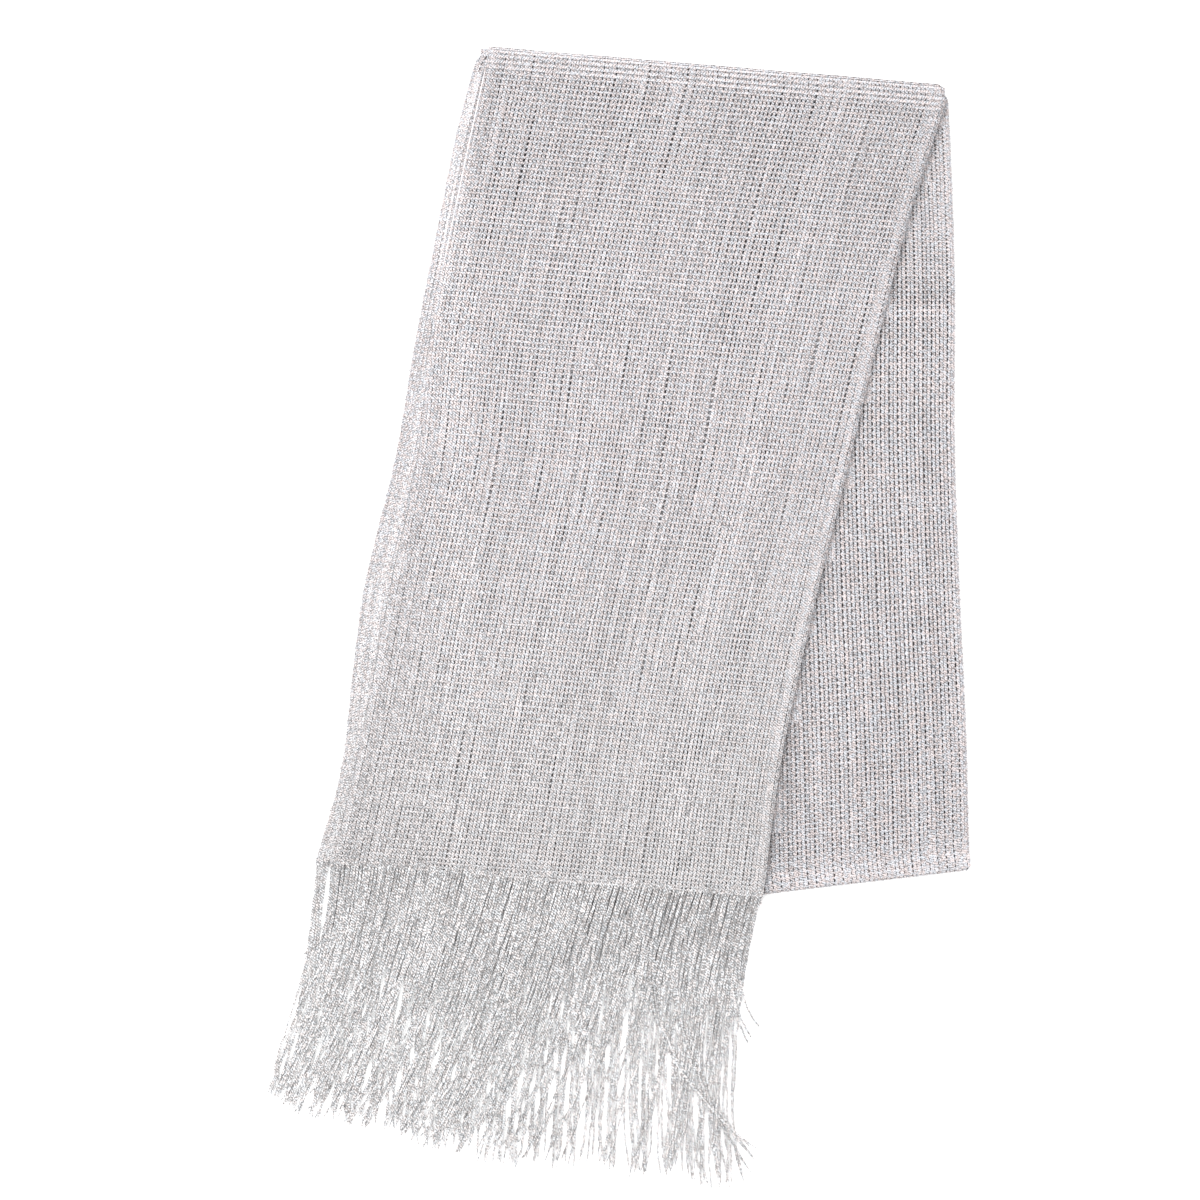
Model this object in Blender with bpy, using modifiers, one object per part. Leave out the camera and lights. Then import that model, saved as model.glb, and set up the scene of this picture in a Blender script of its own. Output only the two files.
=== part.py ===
"""A woven evening stole with fringed ends, folded up and laid flat.

The cut cloth is folded in half along its length, so every stretch of it is doubled: its two plies meet in
a fold along the right-hand edge and end in two selvedges along the left-hand edge. The doubled cloth is
then folded twice across:

    front_fall   lies on top, from its fringed hem up to the top fold and round it
    back_fall    comes down behind the front fall, to the bottom fold and round it
    under_fall   goes back up underneath, and ends in the stole's other fringe

Each stretch is a row of stations. A station is a straight line across the cloth, from its selvedges to
the lengthwise fold, on which the cloth's section is set out.

Frame: +X across the cloth, +Y from the front fringe to the top fold, +Z up. The origin is on the surface
that the stole lies on, under the middle of the bundle.
"""

import math
import random
from collections import namedtuple

import bmesh
import bpy
from mathutils import Vector

MM = 0.001

# The cloth: one ply's thickness, and the doubled cloth's.
WALL = 1.0 * MM
PLY_GAP = 0.4 * MM
PLY_OFFSET = (WALL + PLY_GAP) / 2
DOUBLED = 2 * WALL + PLY_GAP
SEAM_GAP = 0.3 * MM

# Heights of each stretch's underside. Past the under fall's end, the back fall lies lower.
STRETCH_GAP = 0.4 * MM
UNDER_Z = 0.0
BACK_Z = DOUBLED + STRETCH_GAP
BACK_LOW_Z = 1.7 * MM
FRONT_Z = BACK_Z + DOUBLED + STRETCH_GAP

# The front fall and its fringe come down from the other stretches beside them, over this run.
DRAPE_START = 2 * MM
DRAPE_RUN = 42 * MM
FRINGE_FLOOR_GAP = 0.3 * MM

# The step in the back fall, past the end of the under fall.
STEP_START = 5 * MM
STEP_RUN = 14 * MM

# The folds across. In the bottom one, the outer ply reaches on past the inner one.
TURN_STEPS = 6
TURN_RUN = 3 * MM
TOP_CORNER = 4 * MM
BOTTOM_CORNER = 2 * MM
BOTTOM_REACH = 10 * MM

# Stations across each stretch, evenly spaced along it, in millimetres: the ends of the cloth's left and
# right edges, and how far one selvedge stands back from the other.
Row = namedtuple("Row", "left_x left_y right_x right_y inset")
FRONT_ROWS = (
    Row(-194.4, -162.0, 97.3, -184.0, 14.0),
    Row(-173.2, -73.0, 108.8, -98.0, 13.0),
    Row(-161.5, 15.0, 126.8, -10.9, 18.0),
    Row(-142.0, 102.5, 148.2, 77.0, 17.0),
    Row(-126.8, 190.0, 169.0, 164.9, 11.0),
    Row(-107.3, 277.5, 191.1, 252.9, 9.0),
    Row(-87.3, 361.2, 217.3, 335.8, 4.0),
)
BACK_ROWS = (
    Row(-87.3, 361.2, 217.3, 335.8, 4.0),
    Row(-84.5, 282.0, 220.2, 271.0, 3.0),
    Row(-82.6, 203.0, 221.8, 205.0, 3.0),
    Row(-81.0, 102.0, 221.6, 112.0, 3.0),
    Row(-79.3, 2.0, 224.6, 20.0, 3.0),
    Row(-77.8, -98.0, 228.8, -73.0, 3.0),
    Row(-77.2, -188.6, 230.9, -152.2, 3.0),
)
UNDER_ROWS = (
    Row(-77.2, -188.6, 230.9, -152.2, 3.0),
    Row(-80.0, -60.0, 227.0, -36.0, 3.0),
    Row(-82.0, 72.0, 222.5, 84.0, 3.0),
    Row(-82.6, 202.0, 223.6, 204.5, 3.0),
)
FRONT_STATIONS = 20
BACK_STEP_AT = (0.292, 0.308, 0.325)
BACK_STATIONS = 10
BACK_TOP_STATIONS = 4
UNDER_STATIONS = 6
FOLD_STEPS = 4

# Soft ridges in the front fall's top ply, lengthwise. Places are shares across and along it.
Ridge = namedtuple("Ridge", "across height spread start end")
RIDGES = (
    Ridge(0.43, 1.1 * MM, 0.10, 0.05, 0.75),
    Ridge(0.60, 0.8 * MM, 0.10, 0.35, 0.95),
    Ridge(0.79, 1.0 * MM, 0.10, 0.00, 0.60),
)

# Where the fringes' tips are, in millimetres, from the selvedges to the lengthwise fold.
Tip = namedtuple("Tip", "share x y")
FRONT_TIPS = (
    Tip(0.00, -241.0, -301.0),
    Tip(0.10, -204.5, -316.0),
    Tip(0.25, -152.0, -329.0),
    Tip(0.40, -106.0, -343.0),
    Tip(0.50, -67.0, -352.0),
    Tip(0.65, -15.0, -355.0),
    Tip(0.80, 37.0, -360.0),
    Tip(0.92, 66.0, -369.0),
    Tip(1.00, 84.0, -369.0),
)
UNDER_TIPS = (
    Tip(0.00, -80.0, 342.0),
    Tip(0.50, 64.0, 334.0),
    Tip(1.00, 205.0, 318.0),
)

# A fringe: locks of yarn on a narrow strip of cloth.
STRIP = 3.0 * MM
LOCK_THICK = 0.8 * MM
LOCK_SHARE = 0.68
LOCK_TIP = 0.8 * MM
LOCKS_PER_TUFT = (2, 5)
TUFT_PULL = 0.5
TUFT_SHORTER = 14 * MM
HEADING_REACH = 0.55

SILVER = (0.60, 0.58, 0.59, 1.0)
PALE_SILVER = (0.70, 0.68, 0.69, 1.0)

Station = namedtuple("Station", "left right inset height up reach")


def eased(t):
    """0 to 1, leaving and arriving level."""
    t = min(max(t, 0.0), 1.0)
    return t * t * (3 - 2 * t)


def between(rows, share):
    """The row at a share of the way through, on a smooth curve through all the rows."""
    place = min(max(share, 0.0), 1.0) * (len(rows) - 1)
    i = min(int(place), len(rows) - 2)
    t = place - i
    before, here = rows[max(i - 1, 0)], rows[i]
    there, after = rows[i + 1], rows[min(i + 2, len(rows) - 1)]
    values = []
    for a, b, c, d in zip(before, here, there, after):
        bend = (2 * a - 5 * b + 4 * c - d) * t * t + (3 * b - a - 3 * c + d) * t * t * t
        values.append(b + 0.5 * ((c - a) * t + bend))
    return Row(*values)


def ends_of(row):
    """A row's left and right ends in plan, in metres."""
    return Vector((row.left_x, row.left_y)) * MM, Vector((row.right_x, row.right_y)) * MM


def tip_at(tips, share):
    """The tip at a share of the way across, straight between the two on either side."""
    for near, far in zip(tips, tips[1:]):
        if share <= far.share:
            t = (share - near.share) / (far.share - near.share)
            return Vector((near.x + t * (far.x - near.x), near.y + t * (far.y - near.y))) * MM
    return Vector((tips[-1].x, tips[-1].y)) * MM


def outward(left, right, side):
    """Unit vector in plan square to a line across: towards +Y for side 1, towards -Y for side -1."""
    along = (right - left).normalized()
    return Vector((-along.y, along.x)) * side


# ---- What each stretch lies on


def level(height):
    """A flat bed."""
    return lambda point: height


def past_stack(point):
    """How far a point in plan lies beyond the back fall: past its selvedges, or past the bottom fold."""
    top, bottom = BACK_ROWS[0].left_y * MM, BACK_ROWS[-1].left_y * MM
    left, _ = ends_of(between(BACK_ROWS, (top - point.y) / (top - bottom)))
    fold_left, fold_right = ends_of(BACK_ROWS[-1])
    out = outward(fold_left, fold_right, -1)
    fold_depth = TURN_RUN + BOTTOM_REACH + (BACK_Z + DOUBLED) / 2
    past_fold = (point - fold_left).dot(out) - fold_depth
    return math.hypot(max(left.x - point.x, 0.0), max(past_fold, 0.0))


def drape(floor):
    """A bed that is level on the back fall, and comes down beside it to the floor given."""
    def bed(point):
        return FRONT_Z + eased((past_stack(point) - DRAPE_START) / DRAPE_RUN) * (floor - FRONT_Z)
    return bed


def back_bed(point):
    """The bed of the back fall: the under fall and, past its end, its fringe."""
    left, right = ends_of(UNDER_ROWS[-1])
    past_end = (point - left).dot(outward(left, right, 1))
    return BACK_Z + eased((past_end - STEP_START) / STEP_RUN) * (BACK_LOW_Z - BACK_Z)


# ---- Stations


def spread(first, last, count):
    """Evenly spaced numbers."""
    return [first + (last - first) * i / (count - 1) for i in range(count)]


def flat_stations(rows, shares, bed, up):
    """Stations along a stretch that lies on a bed, its cloth's face towards +Z for up 1."""
    stations = []
    for share in shares:
        row = between(rows, share)
        left, right = ends_of(row)
        stations.append(Station(left, right, row.inset * MM, bed, Vector((0, 0, up)), Vector((0, 0))))
    return stations


def turn_stations(row, side, high, low, up, corner, reach):
    """Stations round a fold across, from a stretch whose underside is at high to one at low. The fold is
    narrower at its outermost line, by the corner's radius."""
    left, right = ends_of(row)
    across = (right - left).normalized()
    out = outward(left, right, side)
    radius = (high - low) / 2
    stations = []
    for i in range(1, TURN_STEPS + 1):
        angle = math.pi * i / TURN_STEPS
        lean = math.sin(angle)
        shift = out * (TURN_RUN + radius * lean if i < TURN_STEPS else SEAM_GAP)
        face = Vector((out.x * lean, out.y * lean, math.cos(angle))) * up
        further = out * reach if i < TURN_STEPS else Vector((0, 0))
        bed = level(low + radius * (1 + math.cos(angle)))
        right_end = right + shift - across * corner * lean
        stations.append(Station(left + shift, right_end, row.inset * MM, bed, face, further))
    return stations


# ---- Walls


def columns_at(station):
    """Places across a station for the wall's points: close together where the cloth comes down beside
    the stretches under it, and even from there to the lengthwise fold."""
    width = (station.right - station.left).length
    across = (station.right - station.left) / width
    lip = 5 * MM
    while past_stack(station.left + across * lip) > DRAPE_START:
        lip += 1 * MM
    land = max(lip - DRAPE_RUN, 2.5 * MM)
    drape_places = [land + (lip - land) * i / 3 for i in range(4)]
    rest = width - DOUBLED / 2 - lip
    return [0.0, land / 2] + drape_places + [lip + rest * i / 9 for i in range(1, 10)]


def ridge_lift(across, along):
    """How far the ridges raise the cloth at a place, given as shares across and along it."""
    lift = 0.0
    for ridge in RIDGES:
        side = eased(1 - abs(across - ridge.across) / ridge.spread)
        length = min(max((along - ridge.start) / (ridge.end - ridge.start), 0.0), 1.0)
        lift += ridge.height * side * math.sin(math.pi * length)
    return lift


def section(station, along, ridged):
    """The doubled cloth's section at a station: the ply on its up side from selvedge to lengthwise fold,
    the fold, and the other ply back to its own selvedge."""
    width = (station.right - station.left).length
    across = (station.right - station.left) / width
    columns = columns_at(station)

    def place(length, lift, beyond=0.0, reach=0.0):
        plan = station.left + across * (length + beyond) + station.reach * reach
        bed = station.height(station.left + across * length)
        return Vector((plan.x, plan.y, bed + DOUBLED / 2)) + station.up * lift

    points = []
    for i, length in enumerate(columns):
        length = max(length, station.inset + i * 0.6 * MM)
        lift = ridge_lift(length / width, along) if ridged else 0.0
        points.append(place(length, PLY_OFFSET + lift))
    for i in range(1, FOLD_STEPS):
        angle = math.pi * i / FOLD_STEPS
        lift, beyond = PLY_OFFSET * math.cos(angle), PLY_OFFSET * math.sin(angle)
        points.append(place(columns[-1], lift, beyond, i / FOLD_STEPS))
    points += [place(length, -PLY_OFFSET, reach=1.0) for length in reversed(columns)]
    return points


def wall(name, stations, colour, ridged=False):
    """A stretch of doubled cloth: the surface in the middle of its wall, thickened both ways."""
    last = len(stations) - 1
    shape = bmesh.new()
    lines = []
    for i, station in enumerate(stations):
        lines.append([shape.verts.new(point) for point in section(station, i / last, ridged)])
    for near, far in zip(lines, lines[1:]):
        for a, b, c, d in zip(near, near[1:], far[1:], far):
            shape.faces.new((a, b, c, d))
    obj = add(name, shape, colour)
    thicken(obj, WALL)
    return obj


def thicken(obj, thickness):
    """Gives a surface its thickness, half to each side."""
    modifier = obj.modifiers.new("thickness", "SOLIDIFY")
    modifier.thickness = thickness
    modifier.offset = 0


# ---- The hidden stretch


def layered_section(station):
    """The outline of a doubled stretch as one solid: round at the lengthwise fold, with a groove between
    its two plies at the selvedges."""
    width = (station.right - station.left).length
    across = (station.right - station.left) / width
    radius = DOUBLED / 2
    outline = [(0.0, 0.0), (0.0, WALL), (station.inset + 4 * MM, radius)]
    outline += [(station.inset, DOUBLED - WALL), (station.inset, DOUBLED)]
    for i in range(FOLD_STEPS + 1):
        angle = math.pi / 2 - math.pi * i / FOLD_STEPS
        outline.append((width - radius + radius * math.cos(angle), radius + radius * math.sin(angle)))
    points = []
    for length, height in outline:
        plan = station.left + across * length
        points.append(Vector((plan.x, plan.y, UNDER_Z + height)))
    return points


def solid_stretch(name, stations, colour):
    """A stretch whose two plies share one solid, its outline carried from station to station."""
    shape = bmesh.new()
    first = shape.faces.new([shape.verts.new(point) for point in layered_section(stations[0])])
    end = shape.faces.new([shape.verts.new(vert.co) for vert in first.verts])
    for station in stations[1:]:
        end = bmesh.ops.extrude_discrete_faces(shape, faces=[end])["faces"][0]
        for vert, point in zip(end.verts, layered_section(station)):
            vert.co = point
    bmesh.ops.remove_doubles(shape, verts=shape.verts, dist=0.01 * MM)
    bmesh.ops.recalc_face_normals(shape, faces=shape.faces)
    return add(name, shape, colour)


# ---- The fringes


def tufts(count, seed):
    """For each lock, its share across, the middle of the tuft that it leans into, and how far the tuft
    stops short."""
    draw = random.Random(seed)
    locks = []
    while len(locks) < count:
        size = min(draw.randint(*LOCKS_PER_TUFT), count - len(locks))
        shares = [(len(locks) + i + 0.5) / count for i in range(size)]
        short = draw.random() * TUFT_SHORTER
        locks += [(share, sum(shares) / size, short) for share in shares]
    return locks


def on_curve(root, bend, tip, t):
    """The point at t on the curve that leaves the root towards the bend and ends at the tip."""
    return root * (1 - t) ** 2 + bend * 2 * t * (1 - t) + tip * t * t


def lock_steps(curve):
    """Places on a lock's curve: where it leaves the stack, where it reaches the floor, and on to its tip."""
    fine = spread(0, 1, 81)
    lip = max((t for t in fine if past_stack(on_curve(*curve, t)) <= DRAPE_START), default=0.0)
    land = min(t for t in fine if past_stack(on_curve(*curve, t)) >= DRAPE_START + DRAPE_RUN)
    drape_steps = [t for t in spread(lip, land, 4) if t > 0.05]
    return sorted(set(drape_steps)) + spread(land, 1, 4)[1:]


def fringe(name, row, headings, count, tips, height, steps_of, seed, colour):
    """A strip parted from the cloth's end, with a row of locks fused into it: each lock is extruded from
    its own stretch of the strip's edge."""
    left, right = ends_of(row)
    across = (right - left).normalized()
    left += across * row.inset * MM
    width = (right - left).length - DOUBLED / 2
    pitch = width / count
    lock_width = pitch * LOCK_SHARE
    shape = bmesh.new()

    def heading(share):
        return headings[0].lerp(headings[1], share).normalized()

    def vertex(plan):
        return shape.verts.new((plan.x, plan.y, height(plan)))

    near, far = [], []
    for i in range(count):
        for side in (-0.5, 0.5):
            length = (i + 0.5) * pitch + side * lock_width
            along = heading(length / width)
            near.append(vertex(left + across * length + along * SEAM_GAP))
            far.append(vertex(left + across * length + along * (SEAM_GAP + STRIP)))
    for a, b, c, d in zip(near, near[1:], far[1:], far):
        shape.faces.new((a, b, c, d))

    for i, (share, middle, short) in enumerate(tufts(count, seed)):
        edge = shape.edges.get((far[2 * i], far[2 * i + 1]))
        root = left + across * share * width + heading(share) * (SEAM_GAP + STRIP)
        tip = tip_at(tips, share + TUFT_PULL * (middle - share))
        tip -= (tip - root).normalized() * short
        bend = root + heading(share) * (tip - root).length * HEADING_REACH
        for t in steps_of((root, bend, tip)):
            size = lock_width + (LOCK_TIP - lock_width) * t
            middle_of_lock = on_curve(root, bend, tip, t)
            grown = bmesh.ops.extrude_edge_only(shape, edges=[edge])["geom"]
            ends = [item for item in grown if isinstance(item, bmesh.types.BMVert)]
            ends.sort(key=lambda vert: vert.co.x)
            for vert, side in zip(ends, (-0.5, 0.5)):
                plan = middle_of_lock + across * side * size
                vert.co = (plan.x, plan.y, height(middle_of_lock))
            edge = shape.edges.get(ends)
    bmesh.ops.recalc_face_normals(shape, faces=shape.faces)
    obj = add(name, shape, colour)
    thicken(obj, LOCK_THICK)
    return obj


def above(bed, height):
    """A bed's height with something more on top."""
    return lambda point: bed(point) + height


def headings_past(inner, outer):
    """Unit vectors in plan along the two edges, from a row to the cloth's last row."""
    return [(far - near).normalized() for near, far in zip(ends_of(inner), ends_of(outer))]


# ---- The stole


def add(name, shape, colour):
    """Puts a shape in the stole's collection as an object with its own material."""
    mesh = bpy.data.meshes.new(name)
    shape.to_mesh(mesh)
    shape.free()
    obj = bpy.data.objects.new(name, mesh)
    material = bpy.data.materials.new(name)
    material.use_nodes = True
    shader = material.node_tree.nodes["Principled BSDF"]
    shader.inputs["Base Color"].default_value = colour
    shader.inputs["Roughness"].default_value = 0.38
    shader.inputs["Metallic"].default_value = 0.55
    mesh.materials.append(material)
    stole.objects.link(obj)
    return obj


def front_fall():
    stations = flat_stations(FRONT_ROWS, spread(0, 1, FRONT_STATIONS), drape(0.0), 1)
    stations += turn_stations(FRONT_ROWS[-1], 1, FRONT_Z, BACK_LOW_Z, 1, TOP_CORNER, 0.0)
    wall("front_fall", stations, PALE_SILVER, ridged=True)


def back_fall():
    shares = spread(0, BACK_STEP_AT[0], BACK_TOP_STATIONS)[:-1] + list(BACK_STEP_AT)
    shares += spread(BACK_STEP_AT[-1], 1, BACK_STATIONS)[1:]
    stations = flat_stations(BACK_ROWS, shares, back_bed, -1)
    stations += turn_stations(BACK_ROWS[-1], -1, BACK_Z, UNDER_Z, -1, BOTTOM_CORNER, BOTTOM_REACH)
    wall("back_fall", stations, SILVER)


def under_fall():
    stations = flat_stations(UNDER_ROWS, spread(0, 1, UNDER_STATIONS), level(UNDER_Z), 1)
    solid_stretch("under_fall", stations, SILVER)


def flat_steps(curve):
    """Places on the curve of a lock that lies level all the way."""
    return spread(0, 1, 4)[1:]


def fringes():
    hem = FRONT_ROWS[0]
    away = headings_past(FRONT_ROWS[1], hem)
    bed = drape(FRINGE_FLOOR_GAP)
    top = above(bed, DOUBLED - LOCK_THICK / 2)
    lower = above(bed, LOCK_THICK / 2)
    fringe("front_fringe_top", hem, away, 80, FRONT_TIPS, top, lock_steps, 7, PALE_SILVER)
    lower_hem = hem._replace(inset=0.0)
    fringe("front_fringe_lower", lower_hem, away, 76, FRONT_TIPS, lower, lock_steps, 11, PALE_SILVER)
    end = UNDER_ROWS[-1]
    away = headings_past(UNDER_ROWS[-2], end)
    hidden = level(FRINGE_FLOOR_GAP + LOCK_THICK / 2)
    fringe("under_fringe", end, away, 44, UNDER_TIPS, hidden, flat_steps, 23, SILVER)


for leftover in list(bpy.data.objects):
    bpy.data.objects.remove(leftover)
stole = bpy.data.collections.new("evening_stole")
bpy.context.scene.collection.children.link(stole)
front_fall()
back_fall()
under_fall()
fringes()
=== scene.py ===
# %% [markdown]
# # A folded evening stole
#
# The stole is one rectangle of open silver weave, 61 cm wide, with a twisted fringe at each end. It is
# doubled along its length and folded across, and it lies flat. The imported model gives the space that
# each stretch of cloth takes up. This script makes the cloth itself. A pattern on a flat sheet would be
# quicker, but light comes through the gaps of an open weave, so each yarn that shows is made.

import bpy
import numpy as np
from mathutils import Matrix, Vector


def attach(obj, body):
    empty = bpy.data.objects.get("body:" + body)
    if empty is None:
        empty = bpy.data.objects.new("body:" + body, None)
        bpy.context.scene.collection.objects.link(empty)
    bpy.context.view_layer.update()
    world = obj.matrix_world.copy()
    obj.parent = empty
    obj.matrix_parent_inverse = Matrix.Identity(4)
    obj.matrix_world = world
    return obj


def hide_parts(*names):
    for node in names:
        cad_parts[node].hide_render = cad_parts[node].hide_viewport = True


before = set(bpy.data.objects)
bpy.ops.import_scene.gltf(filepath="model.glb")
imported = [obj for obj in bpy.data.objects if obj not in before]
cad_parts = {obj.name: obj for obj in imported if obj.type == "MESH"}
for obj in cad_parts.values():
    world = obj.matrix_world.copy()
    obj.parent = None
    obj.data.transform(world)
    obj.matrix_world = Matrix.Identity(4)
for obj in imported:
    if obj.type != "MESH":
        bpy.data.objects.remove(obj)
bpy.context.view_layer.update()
MM = 0.001
print("nodes:", ", ".join(sorted(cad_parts)))

# %% [markdown]
# ## The camera
#
# The stole is seen from straight above, as on a light table. A long lens keeps the edges parallel.

# %% The camera
VIEW_WIDTH = 780 * MM
VIEW_CENTRE = (-8.45 * MM, 7.8 * MM)
LENS, SENSOR = 100.0, 36.0


def aim_camera():
    """The camera's height follows from the width that it takes in: width = height x sensor / lens."""
    data = bpy.data.cameras.new("camera")
    data.lens, data.sensor_width = LENS, SENSOR
    camera = bpy.data.objects.new("camera", data)
    camera.location = (*VIEW_CENTRE, VIEW_WIDTH * LENS / SENSOR)
    bpy.context.scene.collection.objects.link(camera)
    bpy.context.scene.camera = camera
    print(f"camera {camera.location.z:.2f} m above the table")


aim_camera()

# %% [markdown]
# ## The cloth's measures
#
# The two plies lie a little apart, and each stretch of doubled cloth lies on the one below, so the
# heights are added up from the walls and the gaps. Near the top fold only the hidden fringe lies under
# the back fall, so it lies lower there. A fold's turn leads out a little, its corners are rounded, and
# its outer ply reaches further than its inner one.

# %% Thicknesses, heights and folds
WALL = 1.0 * MM
PLY_GAP = 0.4 * MM
PLY_OFFSET = (WALL + PLY_GAP) / 2
DOUBLED = 2 * WALL + PLY_GAP
SEAM_GAP = 0.3 * MM
STRETCH_GAP = 0.4 * MM
BACK_Z = DOUBLED + STRETCH_GAP
BACK_LOW_Z = 1.7 * MM
FRONT_Z = BACK_Z + DOUBLED + STRETCH_GAP
TURN_RUN = 3 * MM
TOP_CORNER, BOTTOM_CORNER = 4 * MM, 2 * MM
BOTTOM_REACH = 10 * MM
print(f"the front fall lies {FRONT_Z / MM:.1f} mm up")

# %% [markdown]
# ## Where each stretch lies
#
# A row gives a line across the cloth: the plan of its left and right ends, and how far one selvedge
# stands back from the other. The cloth runs smoothly from row to row, so a few rows say where a
# stretch lies.

# %% Rows across each stretch
# left x, left y, right x, right y, inset
FRONT_ROWS = MM * np.array([
    (-194.4, -162.0, 97.3, -184.0, 14.0),
    (-173.2, -73.0, 108.8, -98.0, 13.0),
    (-161.5, 15.0, 126.8, -10.9, 18.0),
    (-142.0, 102.5, 148.2, 77.0, 17.0),
    (-126.8, 190.0, 169.0, 164.9, 11.0),
    (-107.3, 277.5, 191.1, 252.9, 9.0),
    (-87.3, 361.2, 217.3, 335.8, 7.2),
])
BACK_ROWS = MM * np.array([
    (-87.3, 361.2, 217.3, 335.8, 7.2),
    (-84.5, 282.0, 220.2, 271.0, 3.0),
    (-82.6, 203.0, 221.8, 205.0, 3.0),
    (-81.0, 102.0, 221.6, 112.0, 3.0),
    (-79.3, 2.0, 224.6, 20.0, 3.0),
    (-77.8, -98.0, 228.8, -73.0, 3.0),
    (-77.2, -188.6, 230.9, -152.2, 3.0),
])
UNDER_ROWS = MM * np.array([
    (-77.2, -188.6, 230.2, -152.2, 3.0),
    (-80.0, -60.0, 225.5, -36.0, 3.0),
    (-82.0, 72.0, 220.5, 84.0, 3.0),
    (-82.6, 202.0, 221.0, 204.5, 3.0),
])
# The front fall's lower ply has its hem a little past the upper one's, more so at the right.
LOWER_ROWS = FRONT_ROWS.copy()
LOWER_ROWS[0, 0:4] += MM * np.array((-0.4, -1.6, -0.9, -6.0))
print("rows on the front fall, the back fall and under it:", len(FRONT_ROWS), len(BACK_ROWS), len(UNDER_ROWS))


# %% Smooth steps and smooth rows
def eased(t):
    """0 to 1, leaving and arriving level: 3t^2 - 2t^3."""
    t = np.clip(t, 0.0, 1.0)
    return t * t * (3 - 2 * t)


def between(rows, share):
    """The rows' values at shares of the way through, on a smooth curve through all the rows: each
    stretch is a cubic whose slope at a row is half the step from the row before to the row after. One
    more row past each end carries the last step on."""
    place = np.clip(share, 0.0, 1.0) * (len(rows) - 1)
    i = np.minimum(place.astype(int), len(rows) - 2)
    t = (place - i)[..., None]
    rows = np.concatenate([2 * rows[:1] - rows[1:2], rows, 2 * rows[-1:] - rows[-2:-1]])
    a, b, c, d = rows[i], rows[i + 1], rows[i + 2], rows[i + 3]
    bend = (2 * a - 5 * b + 4 * c - d) * t**2 + (3 * b - a - 3 * c + d) * t**3
    return b + 0.5 * ((c - a) * t + bend)


def unit(vectors):
    """Each vector over its own length."""
    return vectors / np.maximum(np.linalg.norm(vectors, axis=-1, keepdims=True), 1e-12)


print("half way up the front fall, its left edge is at", between(FRONT_ROWS, np.array([0.5]))[0, 0:2])

# %% [markdown]
# ## What the cloth lies on
#
# The front fall lies on the other stretches, and comes down to the table beside them. A cloth
# simulation could drape it, but its height depends only on how far a place is past their edge, so one
# formula serves the cloth and the fringe alike. The back fall steps down where the stretch under it ends.

# %% Beds
DRAPE_START, DRAPE_RUN = 2 * MM, 42 * MM
STEP_START, STEP_RUN = 5 * MM, 14 * MM


def square_to(start, end, side):
    """Unit vector in plan square to a line across: towards +Y for side 1, towards -Y for side -1."""
    along = unit(end - start)
    return np.stack([-along[..., 1], along[..., 0]], axis=-1) * side


def past_stack(plan):
    """How far places lie beyond the back fall: past its selvedges, or past the bottom fold."""
    top, bottom = BACK_ROWS[0, 1], BACK_ROWS[-1, 1]
    left = between(BACK_ROWS, (top - plan[..., 1]) / (top - bottom))[..., 0]
    fold_left, fold_right = BACK_ROWS[-1, 0:2], BACK_ROWS[-1, 2:4]
    out = square_to(fold_left, fold_right, -1)
    fold_depth = TURN_RUN + BOTTOM_REACH + (BACK_Z + DOUBLED) / 2
    past_fold = (plan - fold_left) @ out - fold_depth
    return np.hypot(np.maximum(left - plan[..., 0], 0), np.maximum(past_fold, 0))


def drape(floor):
    """A bed that is level on the back fall, and comes down beside it to the floor given."""
    def bed(plan):
        return FRONT_Z + eased((past_stack(plan) - DRAPE_START) / DRAPE_RUN) * (floor - FRONT_Z)
    return bed


def back_bed(plan):
    """The bed of the back fall: the under fall and, an eased step lower past its end, its fringe."""
    left, right = UNDER_ROWS[-1, 0:2], UNDER_ROWS[-1, 2:4]
    past_end = (plan - left) @ square_to(left, right, 1)
    return BACK_Z + eased((past_end - STEP_START) / STEP_RUN) * (BACK_LOW_Z - BACK_Z)


def under_bed(plan):
    """The table, at height 0."""
    return np.zeros(plan.shape[:-1])


hem_corner = FRONT_ROWS[:1, 0:2]
print(f"the front fall's hem starts {past_stack(hem_corner)[0] / MM:.0f} mm past what it lies on")

# %% [markdown]
# ## A stretch of doubled cloth as a surface
#
# A weft yarn crosses the cloth in a line, so the surface is a row of such lines. The number `a` says
# where on a line a point is: 0 to 1 crosses one ply from its selvedge to the lengthwise fold, 1 to 2
# goes round the fold, and 2 to 3 crosses the other ply back to its own selvedge.


# %% Lines across the cloth
def flat_lines(rows, shares, bed, up):
    """Lines across a stretch that lies on a bed, the first ply on its upper side for up 1."""
    row = between(rows, shares)
    count = len(shares)
    left, right = row[:, 0:2], row[:, 2:4]
    width = np.linalg.norm(right - left, axis=-1)
    return {
        "left": left, "right": right, "inset": row[:, 4], "width": width,
        "up": np.tile((0.0, 0.0, up), (count, 1)), "reach": np.zeros((count, 2)),
        "bed": bed, "level": np.full(count, np.nan),
    }


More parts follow.
